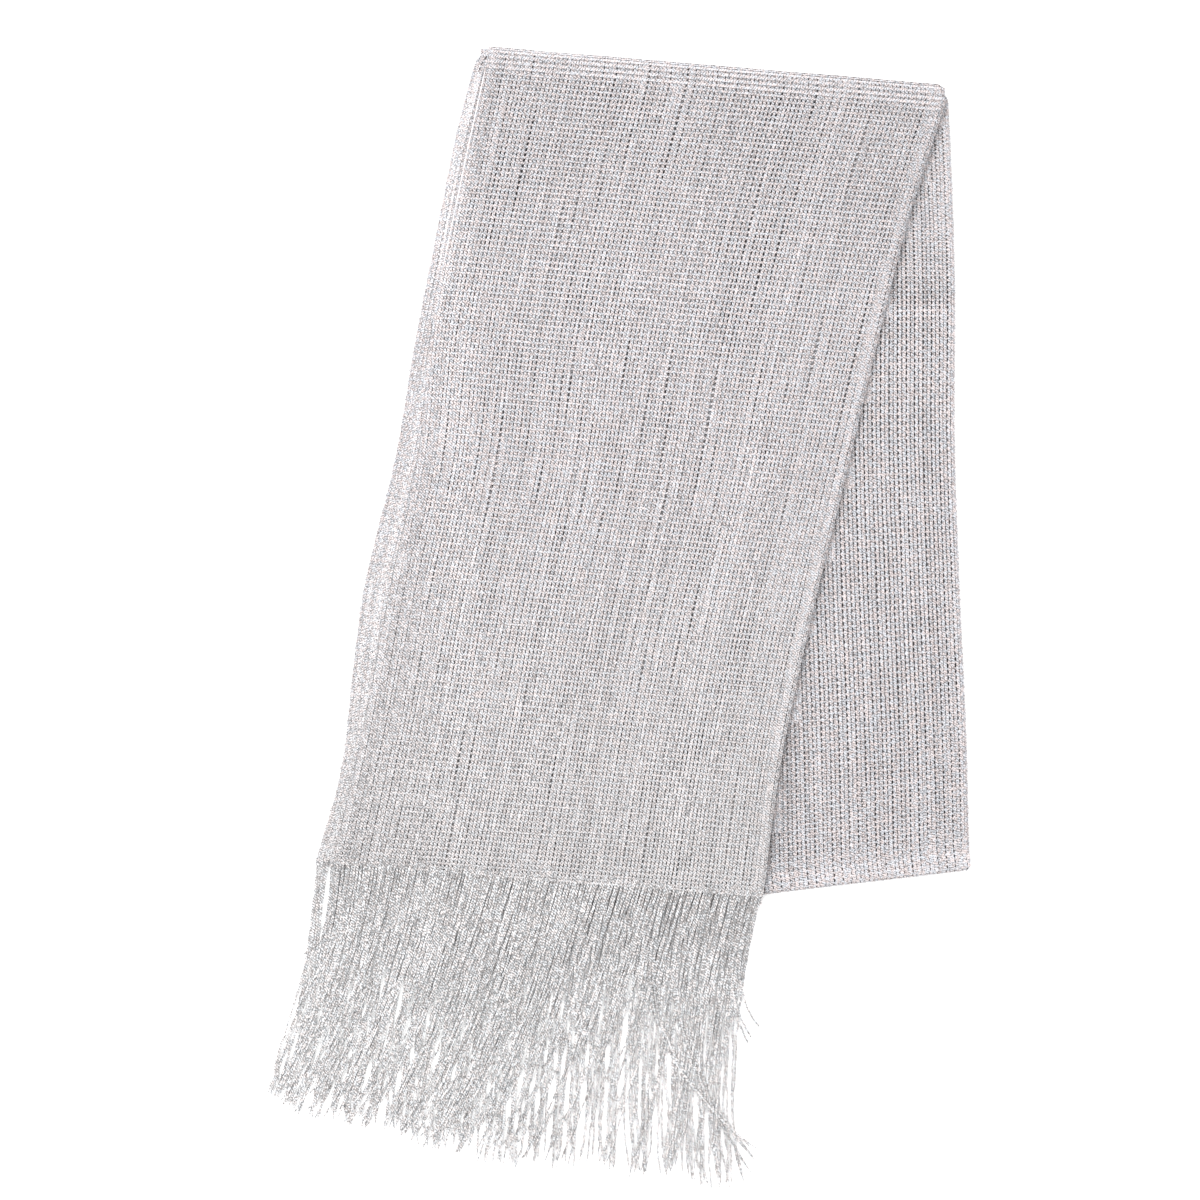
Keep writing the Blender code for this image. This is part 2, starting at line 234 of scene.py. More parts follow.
def turn_lines(row, side, high, low, up, corner, reach, straight, steps):
    """Lines round a fold across: first straight ones that lead out to it, and then steps round a half
    circle, from a stretch whose underside is at high to one at low. The outer ply reaches further."""
    left, right = row[0:2], row[2:4]
    across, out = unit(right - left), square_to(left, right, side)
    radius = (high - low) / 2
    lead = np.arange(1, straight + 1) / (straight + 1)
    angle = np.pi * np.arange(steps + 1) / steps
    angle = np.concatenate([np.zeros(straight), angle])
    run = np.concatenate([lead, np.ones(steps), [0.0]])
    lean = np.sin(angle)
    shift = TURN_RUN * run + radius * lean
    shift[-1] = SEAM_GAP
    face = np.stack([out[0] * lean, out[1] * lean, np.cos(angle)], axis=-1) * up
    return {
        "left": left + out * shift[:, None],
        "right": right + out * shift[:, None] - across * (corner * lean)[:, None],
        "inset": np.full(len(angle), row[4]), "width": np.linalg.norm(right - left) - corner * lean,
        "up": face, "reach": out * (reach * run)[:, None],
        "bed": None, "level": low + radius * (1 + np.cos(angle)),
    }


def joined(first, second):
    """Two runs of lines as one."""
    lines = {key: np.concatenate([first[key], second[key]]) for key in first if key != "bed"}
    lines["bed"] = first["bed"]
    return lines


def on_turn(lines):
    """1 for a line on a fold's turn, which brings its own level, and 0 for one on a bed."""
    return np.where(np.isnan(lines["level"]), 0.0, 1.0)[:, None]


coarse_turn = turn_lines(FRONT_ROWS[-1], side=1, high=FRONT_Z, low=BACK_LOW_Z, up=1, corner=0.0, reach=0.0,
                         straight=0, steps=4)
print("round the top fold the underside lies", np.round(coarse_turn["level"] / MM, 1), "mm up")


# %% Points on the doubled cloth
def on_lines(lines, a, raised=None):
    """Points on the doubled cloth: one for each line (first axis) at each value of a (second axis). A
    ply is a half wall and half the gap off the middle, by the cosine of its turn round the fold."""
    left, right = lines["left"][:, None], lines["right"][:, None]
    inset, end = lines["inset"][:, None], lines["width"][:, None] - DOUBLED / 2
    across = unit(right - left)
    turned = np.clip(a - 1, 0, 1)
    length = np.where(a <= 1, inset + a * (end - inset), np.where(a <= 2, end, (3 - a) * end))
    bare = left + across * length[..., None]
    beyond = PLY_OFFSET * np.sin(np.pi * turned)
    plan = bare + across * beyond[..., None] + lines["reach"][:, None] * turned[..., None]
    level = np.broadcast_to(lines["level"][:, None], length.shape)
    height = np.where(np.isnan(level), lines["bed"](bare), level) + DOUBLED / 2
    lift = PLY_OFFSET * np.cos(np.pi * turned)
    if raised is not None:
        lift = lift + raised
    return np.concatenate([plan, height[..., None]], axis=-1) + lines["up"][:, None] * lift[..., None]


def coarse_grid(lines, start, end, columns=24, skip=4):
    """Points for a plain ply: every few lines, with columns of them evenly from start to end."""
    places = np.tile(np.linspace(start, end, columns), (len(lines["inset"]), 1))
    return on_lines(lines, places)[::skip]


ends = flat_lines(FRONT_ROWS, np.array([0.0, 1.0]), drape(0.0), 1)
print("the doubled cloth is", np.round(ends["width"] / MM), "mm wide at the hem and at the top fold")

# %% [markdown]
# ## Meshes from arrays
#
# Every piece below is worked out as whole arrays of points and faces, which is quick even for a
# hundred thousand faces. One function puts them into a mesh, with the numbers that the materials read
# at each point: its yarn's shade, how far along its yarn it is (run) and how far across (side).


# %% A piece of the stole
def piece(name, part, material, node):
    """A piece that rides on the stole's one body and stands for a node. A part holds points, faces with
    four corners each, and named numbers, one for each point."""
    used, faces = np.unique(part["faces"], return_inverse=True)
    faces = faces.reshape(-1, 4)
    mesh = bpy.data.meshes.new(name)
    mesh.vertices.add(len(used))
    mesh.vertices.foreach_set("co", part["points"][used].astype(np.float32).ravel())
    mesh.loops.add(faces.size)
    mesh.loops.foreach_set("vertex_index", faces.astype(np.int32).ravel())
    mesh.polygons.add(len(faces))
    mesh.polygons.foreach_set("loop_start", np.arange(0, faces.size, 4, dtype=np.int32))
    mesh.polygons.foreach_set("use_smooth", np.ones(len(faces), bool))
    for key in ("shade", "run", "side"):
        layer = mesh.attributes.new(key, "FLOAT", "POINT")
        layer.data.foreach_set("value", part[key][used].astype(np.float32))
    mesh.update(calc_edges=True)
    mesh.materials.append(material)
    obj = bpy.data.objects.new(name, mesh)
    bpy.context.scene.collection.objects.link(obj)
    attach(obj, "root")
    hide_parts(node)
    print(f"{name}: {2 * len(faces)} triangles")
    return obj


# %% Parts of a piece
YARN_CREST = 0.18 * MM


def gathered(parts):
    """Several parts as one, with the faces' point numbers moved on."""
    starts = np.cumsum([0] + [len(part["points"]) for part in parts[:-1]])
    whole = {key: np.concatenate([part[key] for part in parts]) for key in parts[0] if key != "faces"}
    whole["faces"] = np.concatenate([part["faces"] + start for part, start in zip(parts, starts)])
    return whole


def skinned(points, sides, shade, keep=None):
    """A part through points with three indices: yarn, place along it and corner of its section. sides
    says how far across the yarn each corner is. keep marks the places along each yarn that are made."""
    yarns, places, corners = points.shape[:3]
    index = np.arange(yarns * places * corners).reshape(yarns, places, corners)
    here, beside = index[:, :, :-1], index[:, :, 1:]
    faces = np.stack([here[:, :-1], beside[:, :-1], beside[:, 1:], here[:, 1:]], axis=-1)
    if keep is not None:
        faces = faces[keep[:, :-1] & keep[:, 1:]]
    middle = points.mean(axis=2)
    run = np.cumsum(np.linalg.norm(np.diff(middle, axis=1, prepend=middle[:, :1]), axis=-1), axis=1)
    shape = (yarns, places, corners)
    return {
        "points": points.reshape(-1, 3), "faces": faces.reshape(-1, 4),
        "shade": np.broadcast_to(shade[..., None], shape).ravel(),
        "run": np.broadcast_to(run[..., None], shape).ravel(),
        "side": np.broadcast_to(np.array(sides, float), shape).ravel(),
    }


def ribbons(centre, side, normal, width, shade, keep=None, crest=YARN_CREST):
    """Yarns as flattened strips with a crest along the middle."""
    half = side * (width / 2)[..., None]
    points = np.stack([centre - half, centre + normal * crest, centre + half], axis=2)
    return skinned(points, (-1, 0, 1), shade, keep)


def shell(points, keep=None):
    """A plain thin sheet through a grid of points. A face is made where all its corners are kept."""
    keep = np.ones(points.shape[:2], bool) if keep is None else keep
    part = skinned(points[:, :, None], (0,), np.zeros(points.shape[:2]))
    index = np.arange(keep.size).reshape(keep.shape)
    faces = np.stack([index[:-1, :-1], index[:-1, 1:], index[1:, 1:], index[1:, :-1]], axis=-1)
    whole = keep[:-1, :-1] & keep[:-1, 1:] & keep[1:, 1:] & keep[1:, :-1]
    part["faces"] = faces[whole]
    return part


print(f"a yarn is a strip of two faces side by side, {YARN_CREST / MM} mm higher along its middle")


# %% Smooth random curves and hills
def smooth_noise(draw, length, knots, others):
    """Random curves: knots random numbers along the first axis, joined smoothly to the full length,
    and one curve for each of the others."""
    heights = draw.standard_normal((knots + 2, others))
    place = np.linspace(0, knots + 1 - 1e-6, length)
    i = place.astype(int)
    t = eased(place - i)[:, None]
    return heights[i] * (1 - t) + heights[i + 1] * t


def patches(draw, lines, line_knots, columns, column_knots):
    """Smooth random hills over a grid: random curves along it, joined smoothly across it."""
    curves = smooth_noise(draw, lines, line_knots, column_knots + 2)
    place = np.linspace(0, column_knots + 1 - 1e-6, columns)
    i = place.astype(int)
    t = eased(place - i)
    return curves[:, i] * (1 - t) + curves[:, i + 1] * t


print(f"hills spread by {patches(np.random.default_rng(1), 50, 10, 50, 10).std():.2f}")

# %% [markdown]
# ## The weave
#
# The cloth is an open weave. Warp yarns run lengthwise and weft yarns cross them, and small slits stay
# open between. Loose yarns slide, so the warps drift apart and together over a few centimetres, and
# here and there two of them stand well apart, which draws a dark streak in the cloth. Towards the
# selvedges and the lengthwise fold they crowd together. Copies of one small patch of weave would
# repeat too plainly, so every warp gets its own place on every line.

# %% Where the warps run
WEFT_PITCH = 3.8 * MM
PLY_WARPS = 111
SLOW_LINES, QUICK_LINES = 30, 9
MOST_DRIFT = 0.4


def crowded(count, at_start, at_end, fade):
    """Numbers from 0 to 1. The gap between two is 1 in the middle, and less by at_start and at_end at
    the two ends, where it grows back as exp(-gaps / fade) dies away, and all are scaled to fit."""
    gap = np.arange(count - 1)
    size = 1 - at_start * np.exp(-gap / fade) - at_end * np.exp(-gap[::-1] / fade)
    return np.concatenate([[0], np.cumsum(size)]) / size.sum()


def opened(places, centre, half):
    """Warps pushed apart at a slit: a distance d from its middle becomes the root of d^2 + half^2."""
    d = places - centre
    return centre + np.where(d < 0, -1, 1) * np.hypot(d, half)


def warp_places(draw, even, lines, drift, streaks, longest=26, widest=0.5):
    """Where each warp crosses each line: its even place, a slow drift and a quick one, and the streaks,
    each a slit that opens and closes along the cloth as half a sine."""
    count = len(even)
    pitch = np.gradient(even)
    slow = smooth_noise(draw, lines, max(lines // SLOW_LINES, 2), count)
    quick = smooth_noise(draw, lines, max(lines // QUICK_LINES, 3), count)
    shift = np.clip(drift * (0.6 * slow + 0.5 * quick), -MOST_DRIFT, MOST_DRIFT)
    shift[:, [0, -1]] = 0
    places = even + shift * pitch
    along = np.arange(lines)
    for gap in draw.integers(4, count - 4, streaks):
        length = draw.integers(5, longest)
        start = draw.integers(-4, lines - 4)
        swell = np.sin(np.pi * np.clip((along - start) / length, 0, 1))
        middle = places[:, gap:gap + 2].mean(axis=1)
        half = swell * draw.uniform(0.2, widest) * pitch[gap]
        places = opened(places, middle[:, None], half[:, None])
    return places


even_spacing = np.diff(crowded(PLY_WARPS, 0.0, 0.0, 1))[0]
print(f"a warp takes up {even_spacing:.4f} of the ply's width")

# %% Warps and wefts
WARP_WIDTH = 1.85 * MM
WEFT_WIDTH = 1.6 * MM
WEAVE_LIFT = 0.2 * MM
YARN_JITTER = 0.035 * MM
WIDTH_SPREAD = 0.08
LINE_TONES = 0.4


def woven(points, draw, keep=None, step=1, zigzag=0.0, rise=0.0, wide=1.0, weft_width=WEFT_WIDTH,
          bead=0.0, warp_shade=0.0, weft_shade=0.0):
    """Warps and wefts on a grid of points: lines on the first axis, warps on the second. A weft lies on
    every step-th line, over one warp and under the next, and is raised by rise. Warps turn left and
    right by zigzag from line to line, wide scales their width, and bead makes them swell, with a painted
    highlight, at every other line and gives painted shade between. keep marks the points that are made."""
    along = unit(np.gradient(points, axis=0))
    across = unit(np.gradient(points, axis=1))
    normal = unit(np.cross(across, along))
    lines, warps = points.shape[:2]
    row, column = np.arange(lines)[:, None], np.arange(warps)
    keep = np.ones((lines, warps), bool) if keep is None else keep
    over = np.cos(np.pi * row / step) * np.where(column % 2, 1.0, -1.0) * WEAVE_LIFT
    beat = np.where((row + column) % 2, 1.0, -1.0)
    sway = zigzag * beat
    centres = points + YARN_JITTER * draw.standard_normal(points.shape) + across * sway[..., None]
    spread = np.clip(1 + WIDTH_SPREAD * draw.standard_normal((lines, warps)), 0.75, 1.25)
    shade = draw.standard_normal((2, lines, warps))
    # bead paints a highlight on every other line and shade on the lines between.
    shade[0] += draw.standard_normal(warps) + warp_shade + 2 * bead * beat
    shade[1] += LINE_TONES * draw.standard_normal((lines, 1)) + weft_shade
    raised = centres + normal * over[..., None]
    swell = spread * wide * (1 + 0.2 * bead * beat)
    warp = [raised, across, normal, WARP_WIDTH * swell, shade[0], keep]
    lowered = centres + normal * (rise - over)[..., None]
    weft = [lowered, -along, normal, weft_width * np.roll(spread, 1, axis=1), shade[1], keep]
    warp = [np.swapaxes(item, 0, 1) for item in warp]
    weft = [item[::step] for item in weft]
    return gathered([ribbons(*warp), ribbons(*weft)])


print(f"a weft crosses {PLY_WARPS} warps and lies {2 * WEAVE_LIFT / MM} mm higher over one than under one")

# %% Where the wefts turn back
ARC_POINTS = 6
ARC_RISE = 0.3 * MM


def selvedge_loops(points, draw, reach, thick=0.7 * MM, lighter=0.0):
    """Where each weft turns back round the outermost warp: an arc from its end to the next one's, which
    stands out from the straight line by reach times a half sine. points holds two columns, the
    outermost warp first."""
    edge = points[:, 0]
    out = unit(points[:, 0] - points[:, 1])
    t = np.linspace(0, 1, ARC_POINTS)[None, :, None]
    bulge = reach * draw.uniform(0.4, 1.5, (len(edge) - 1, 1, 1)) * np.sin(np.pi * t)
    arcs = edge[:-1, None] * (1 - t) + edge[1:, None] * t + out[:-1, None] * bulge
    level = ARC_RISE * draw.standard_normal((len(edge) - 1, 1))
    arcs[..., 2] += level * np.sin(np.pi * t[..., 0])
    along = unit(np.gradient(arcs, axis=1))
    up = np.broadcast_to((0.0, 0.0, 1.0), arcs.shape)
    side = unit(np.cross(up, along))
    width = np.full(arcs.shape[:2], thick)
    # lighter adds painted light to the loops.
    shade = np.broadcast_to(lighter + draw.standard_normal((len(edge) - 1, 1)), width.shape)
    return ribbons(arcs, side, up, width, shade)


print(f"each turn of a weft is an arc through {ARC_POINTS} points")

# %% [markdown]
# ## How the weave changes over a ply
#
# The same weave looks different at a fold, at the hem or near a selvedge, where it is pressed, turned
# or pulled open. A table says by how much. Each of its rows is a place on the ply, with a mask that is
# 1 there and fades to 0 around it, and each column is a measure of the yarns. The two shade columns
# also hold painted light and shade: lighter yarns at folds and edges, darker ones at a step and in a
# shadow.

# %% Sums over a table of places
MEASURES = {"wide": 1, "rise": MM, "weft_width": MM, "bead": 1, "warp_shade": 1, "weft_shade": 1}


def summed(table, masks):
    """The yarns' measures over a ply: each is the sum, over the table's rows, of mask times number."""
    return {
        measure: size * sum(masks[place] * row[i] for place, row in table.items())
        for i, (measure, size) in enumerate(MEASURES.items())
    }


print("measures of the yarns:", ", ".join(MEASURES))

# %% [markdown]
# ## Shader maths as expressions
#
# A wrapped socket lets a material be written as sums and products, and each adds its own Math node.


# %% Sockets with arithmetic
class Wire:
    """An output socket with arithmetic."""

    def __init__(self, graph, socket):
        self.graph, self.socket = graph, socket

    def _math(self, operation, *values):
        return self.graph.add("ShaderNodeMath", {"operation": operation}, values)

    def __add__(self, other):
        return self._math("ADD", self, other)

    def __sub__(self, other):
        return self._math("SUBTRACT", self, other)

    def __rsub__(self, other):
        return self._math("SUBTRACT", other, self)

    def __mul__(self, other):
        return self._math("MULTIPLY", self, other)

    __radd__, __rmul__ = __add__, __mul__

    def over(self, low, high):
        """Where a value lies from low to high, as 0 to 1."""
        return self.graph.add("ShaderNodeMapRange", {"clamp": True}, (self, low, high))


print("a wired socket takes +, - and *")


# %% A material's nodes
class Graph:
    """A material's nodes, with its shader ready."""

    def __init__(self, name):
        self.material = bpy.data.materials.new(name)
        self.material.use_nodes = True
        self.nodes = self.material.node_tree.nodes
        self.links = self.material.node_tree.links
        self.shader = self.nodes["Principled BSDF"]

    def fill(self, socket, value):
        """A link for a wired value, and the socket's own value for a constant."""
        if isinstance(value, Wire):
            self.links.new(value.socket, socket)
        else:
            socket.default_value = value

    def add(self, kind, settings, values, out=0):
        """A node of a kind: its settings first, then its sockets by place or by name."""
        node = self.nodes.new(kind)
        for key, value in settings.items():
            setattr(node, key, value)
        for key, value in values.items() if isinstance(values, dict) else enumerate(values):
            self.fill(node.inputs[key], value)
        return Wire(self, node.outputs[out])

    def attribute(self, name):
        """A number that the mesh carries at each point."""
        return self.add("ShaderNodeAttribute", {"attribute_name": name}, (), out="Fac")

    def blend(self, kind, factor, first, second):
        """Two colours mixed or multiplied. A Mix node's colour sockets are its inputs 6 and 7."""
        values = {0: factor, 6: first, 7: second}
        return self.add("ShaderNodeMix", {"data_type": "RGBA", "blend_type": kind}, values, out=2)

    def finish(self, **values):
        """The material, with values in the shader's own sockets."""
        for key, value in values.items():
            self.fill(self.shader.inputs[key.replace("_", " ")], value)
        return self.material


print("a graph starts with a Principled BSDF")

# %% [markdown]
# ## Silver yarn
#
# The yarn is a thread wound with a thin metallic film. It catches the light in specks a millimetre
# long, some of them faintly pink or blue, and its winding shows as fine slanting bands. A noise on the
# object's own coordinates gives the specks, and the bands follow the yarn, from the run and the side
# that each point carries. Both are painted into the colour: the specks are painted glints on the film's
# uneven tone, and the bands are the winding's painted light and shade. A bump gives them relief. The
# film is thin, so the shader is only a little metallic.

# %% How silver yarn is made up
PINK = (1.0, 0.90, 0.90, 1)
BLUE = (0.90, 0.93, 1.0, 1)
WINDING = 1.7 * MM
TINT_GRAIN = 500.0
SHADE_STEP = 0.07


def silver_yarn(name, darkest, lightest, metallic, bands=0.38, specks=1.2, grain=1300.0, tinting=1.0,
                fading=0.0):
    """Colour = dark to light by specks, by the winding's bands and by each yarn's shade, times a tint
    between pink and blue, which fades towards the hem. Bands = sine of 2 pi (run / winding + side / 3)."""
    g = Graph(name)
    place = g.add("ShaderNodeTexCoord", {}, (), out="Object")
    speck = g.add("ShaderNodeTexNoise", {}, {"Vector": place, "Scale": grain, "Detail": 1.0})
    hue = g.add("ShaderNodeTexNoise", {}, {"Vector": place, "Scale": TINT_GRAIN, "Detail": 1.0})
    turns = (g.attribute("run") * (1 / WINDING) + g.attribute("side") * 0.33) * (2 * np.pi)
    winding = g.add("ShaderNodeMath", {"operation": "SINE"}, (turns,))
    # Painted glints (specks) and the winding's painted light and shade (bands). The shade attribute adds each
    # yarn's own tone and the painted light and shade set on the pieces.
    light = 0.5 + (speck.over(0.30, 0.70) - 0.5) * specks + winding * bands
    light = light + g.attribute("shade") * SHADE_STEP
    silver = g.blend("MIX", light.over(0.0, 1.0), darkest, lightest)
    tint = g.blend("MIX", hue.over(0.40, 0.60), PINK, BLUE)
    if fading:
        height = g.add("ShaderNodeSeparateXYZ", {}, (place,), out="Y")
        tinting = tinting - fading + height.over(-0.20, 0.10) * fading
    colour = g.blend("MULTIPLY", tinting, silver, tint)
    relief = speck + winding * 0.3
    bump = g.add("ShaderNodeBump", {}, {"Height": relief, "Strength": 0.6, "Distance": 0.3 * MM})
    return g.finish(Base_Color=colour, Roughness=0.38 + 0.25 * hue, Metallic=metallic, Normal=bump,
                    Specular_IOR_Level=0.3)


print(f"the film goes once round the thread in {WINDING / MM:.1f} mm")


# %% The cloth's yarn and the fringe's
DARK_SILVER, LIGHT_SILVER = (0.155, 0.153, 0.151, 1), (0.57, 0.562, 0.556, 1)
DARK_FRINGE, LIGHT_FRINGE = (0.19, 0.19, 0.187, 1), (0.605, 0.605, 0.597, 1)
cloth_yarn = silver_yarn("silver_yarn_cloth", DARK_SILVER, LIGHT_SILVER, 0.22)
front_yarn = silver_yarn("silver_yarn_front", DARK_SILVER, LIGHT_SILVER, 0.22, fading=0.5)
fringe_yarn = silver_yarn("silver_yarn_fringe", DARK_FRINGE, LIGHT_FRINGE, 0.1, bands=0.5, specks=1.95,
                          grain=950.0, tinting=0.6)
print("yarns:", cloth_yarn.name, front_yarn.name, fringe_yarn.name)

# %% [markdown]
# ## The front fall
#
# This is the stretch on top, from its fringed hem to the top fold and round it. Its two plies lie on
# lines that are alike. At the hem the wefts are beaten closer together, the lower ply's selvedge waves
# in and out, and the fold's corners are rounded.

# %% The front fall's lines
FRONT_LENGTH = 546 * MM
TURN_STEPS = 5
FOLD_WARPS = (1.33, 1.67)
HEM_CROWD, HEM_FADE = 0.35, 3
SELVEDGE_WAVE = MM * np.array([2.0, 4.0, 0.5, 0.5, 1.2, 2.0, 2.0, 1.8, 0.5, -1.0, 0.0])[:, None]
CORNER_IN, CORNER_RUN = 2.5 * MM, 8 * MM


def even_lines(rows, length, bed, up, step=1, hem_crowd=0.0):
    """Lines a weft's pitch apart, or that over step, and closer by hem_crowd at the first row."""
    count = round(length / WEFT_PITCH) * step + 1
    return flat_lines(rows, crowded(count, hem_crowd, 0.0, HEM_FADE * step), bed, up)


def corner_in(from_fold):
    """How far a line's ends are drawn in to round a fold's corners: the whole of it at the fold, and
    less by the square of the distance's share of the corner's run."""
    return CORNER_IN * np.clip(1 - from_fold / CORNER_RUN, 0, 1) ** 2


def drawn_in(lines, at_left, at_right):
    """The lines shortened at both ends. The first ply's selvedge stays where it is, so the inset shrinks."""
    across = unit(lines["right"] - lines["left"])
    return lines | {
        "left": lines["left"] + across * at_left[:, None],
        "right": lines["right"] - across * at_right[:, None],
        "inset": lines["inset"] - at_left, "width": lines["width"] - at_left - at_right,
    }


def front_lines(rows):
    """Lines from the hem to round the top fold."""
    flat = even_lines(rows, FRONT_LENGTH, drape(0.0), up=1, hem_crowd=HEM_CROWD)
    share = crowded(len(flat["inset"]), at_start=HEM_CROWD, at_end=0, fade=HEM_FADE)
    wave = between(SELVEDGE_WAVE, share)[:, 0]
    corner = corner_in((1 - share) * FRONT_LENGTH)
    flat = drawn_in(flat, wave + corner, corner)
    top_row = np.concatenate([flat["left"][-1], flat["right"][-1], flat["inset"][-1:]])
    turn = turn_lines(top_row, side=1, high=FRONT_Z, low=BACK_LOW_Z, up=1, corner=TOP_CORNER, reach=0.0,
                      straight=0, steps=TURN_STEPS)
    return joined(flat, turn)


FRONT_EVEN = crowded(PLY_WARPS, at_start=0.16, at_end=0.05, fade=4)
front_draw = np.random.default_rng(3)
front_count = len(front_lines(FRONT_ROWS)["inset"])
front_along = np.linspace(0, 1, front_count)[:, None]
print(f"{front_count} lines from the hem to round the top fold")

# %% [markdown]
# ## The front fall's upper ply
#
# It shows all over, so it has all the weave's detail: soft ridges from being folded before, wefts that
# stand up at the top fold, crowded warps at the lengthwise fold, and loops along it and along the
# selvedge. Beside the selvedge near the top a straight cord lies over a slit, painted at the lightest
# tone as painted light for the slit. Painted light lies on the top fold's wefts and turn and on the
# lengthwise fold's edge, and painted shade on the warps under the top fold's wefts.

# %% Ridges, the slit and its cord
RIDGES = np.array([  # across, height, half-width, start, end
    (0.43, 1.1 * MM, 0.10, 0.05, 0.75),
    (0.60, 0.8 * MM, 0.10, 0.35, 0.95),
    (0.79, 1.0 * MM, 0.10, 0.00, 0.60),
])
SLIT_START, SLIT_END = 0.69, 0.95
# The cord's shade is painted light: it makes the cord as light as the yarn goes.
CORD_OUT, CORD_UP, CORD_WIDTH, CORD_PAINTED_LIGHT = 0.5 * MM, 0.5 * MM, 1.0 * MM, 9.0


def ridge_lift(across, along):
    """Soft ridges: each a rise across its half-width times an arch from its start to its end."""
    lift = np.zeros(np.broadcast(across, along).shape)
    for place, height, spread, start, end in RIDGES:
        side = eased(1 - np.abs(across - place) / spread)
        lift += height * side * np.sin(np.pi * np.clip((along - start) / (end - start), 0, 1))
    return lift


def slit_at(along):
    """How far the slit beside the upper selvedge is open: up from 0 to 1 past its start, and back to 0
    before its end."""
    return eased((along - SLIT_START) / 0.04) * eased((SLIT_END - along) / 0.02)


def selvedge_cord(points, shown):
    """A straight cord along the upper ply's selvedge, a little outside it and on top, painted at the lightest
    tone as painted light for the slit beside it.
    """
    edge = points[:, 0] - unit(points[:, 1] - points[:, 0]) * CORD_OUT
    edge[:, 2] += CORD_UP
    side = unit(np.cross(np.gradient(edge, axis=0), (0.0, 0.0, 1.0)))
    up = np.broadcast_to((0.0, 0.0, 1.0), edge.shape)
    width, shade = np.full(len(edge), CORD_WIDTH) * shown, np.full(len(edge), CORD_PAINTED_LIGHT)
    return ribbons(edge[None], side[None], up[None], width[None], shade[None], shown[None] > 0.05)


print(f"ridges up to {RIDGES[:, 1].max() / MM} mm high")

# %% The upper ply's places
FRONT_PLACES = {  # warps' width, wefts' rise, wefts' width, bead, warps' shade, wefts' shade
    "everywhere": (1.0, -0.10, 1.35, 0, 0.5, 0),
    "upwards": (0, 0.30, 0.17, 0, 0, 0.1),
    "lowest third": (0, 0, 0, 0, -0.5, -0.5),
    "top quarter": (0, 0, 0, 0, -0.9, -0.9),
    # Painted shade on the warps under the raised wefts, and painted light on those wefts, by the top fold.
    "by the top fold": (0.2, 0.2, 0.35, 0, -1.2, 2.5),
    # Painted light on the turn of the top fold.
    "on the turn": (0, 0, -0.4, 0, 4.0, 4.0),
    # Painted light on the lengthwise fold's edge, where the warps are also wider.
    "at the lengthwise fold": (0.27, 0, 0, 0, 0.7, 0.7),
    "by the selvedge": (0.06, 0, 0, 0, -1.0, -1.0),
    "hem, left part": (0.07, 0, 0.25, 0, -1.2, -1.2),
    "last weft": (0, 0, 0, 0, 0, 3.0),
    "uneven": (0, 0.10, 0, 0, 0, 0),
    "patchy": (0.03, 0, 0, 0, 0, 0),
}


def front_masks(draw, lines, top, along):
    """A mask for each place on the upper ply, from top, a place on a line, and along, from hem to fold."""
    turned = on_turn(lines)
    to_fold = (turned[:, 0] == 0).sum() - 1 - np.arange(len(turned))[:, None]
    return {
        "everywhere": 1.0,
        "upwards": eased((along - 0.25) / 0.6),
        "lowest third": 1 - eased(along / 0.35),
        "top quarter": eased((along - 0.72) / 0.15),
        "by the top fold": eased((3.6 - to_fold) / 1.5),
        "on the turn": turned,
        "at the lengthwise fold": eased((top - 0.965) / 0.015) * (top <= 1),
        "by the selvedge": eased((0.28 - top) / 0.25),
        "hem, left part": (eased((22 * MM - along * FRONT_LENGTH) / (20 * MM))
                           * (1 - eased((top - 0.3) / 0.3))),
        "last weft": (along == 0) & (top > 0.4),
        "uneven": patches(draw, len(turned), 12, top.shape[1], 14),
        "patchy": patches(draw, len(turned), 9, top.shape[1], 10),
    }


print(f"{len(FRONT_PLACES)} places on the upper ply")


# %% The front fall's upper ply
def front_upper_ply(draw, along):
    """Warps drift and part in short streaks, and again in a few long ones. Then come the weave, the
    loops along the selvedge and the lengthwise fold, and the cord."""
    lines = front_lines(FRONT_ROWS)
    count = len(along)
    places = warp_places(draw, FRONT_EVEN, count, drift=0.065, streaks=90)
    long_ones = warp_places(draw, FRONT_EVEN, count, drift=0.0, streaks=16, longest=60, widest=0.6)
    places += long_ones - FRONT_EVEN
    top = np.concatenate([places, np.tile(FOLD_WARPS, (count, 1))], axis=1)
    raised = np.where(top <= 1, ridge_lift(np.minimum(top, 1), along), 0)
    points = on_lines(lines, top, raised)
    cloth = woven(points, draw, **summed(FRONT_PLACES, front_masks(draw, lines, top, along)))
    at_left = selvedge_loops(points[:, :2], draw, reach=0.7 * MM)
    at_fold = selvedge_loops(points[:, -2:-4:-1], draw, reach=0.5 * MM)
    edge_cord = selvedge_cord(points, slit_at(along)[:, 0])
    whole = gathered([cloth, at_left, at_fold, edge_cord])
    return piece("front_top_ply", whole, front_yarn, "front_fall")


front_top = front_upper_ply(front_draw, front_along)

# %% [markdown]
# ## The front fall's lower ply
#
# It shows through the upper one's gaps and in a band at the left, past the upper selvedge. There its
# yarn is painted lighter, as painted light from the white table under it, with a painted bright line
# along the slit, and its turned part is painted lighter too. At the slit its own warps part too, and its
# selvedge is fuzzy, which three rows of fine loops give, painted lighter as well.

# %% The front fall's lower ply
SLIT_OFF, SLIT_HALF = 0.6 * MM, 0.6 * MM
SLIT_LIGHT_OFF, SLIT_LIGHT_SPREAD = 3.5 * MM, 1.0 * MM
# Painted light past the upper selvedge, along the slit and on the turn; the last weft is lighter too.
OUT_PAINTED_LIGHT, SLIT_PAINTED_LIGHT, TURN_PAINTED_LIGHT, LAST_PALER = 1.5, 6.0, 4.0, 2.5


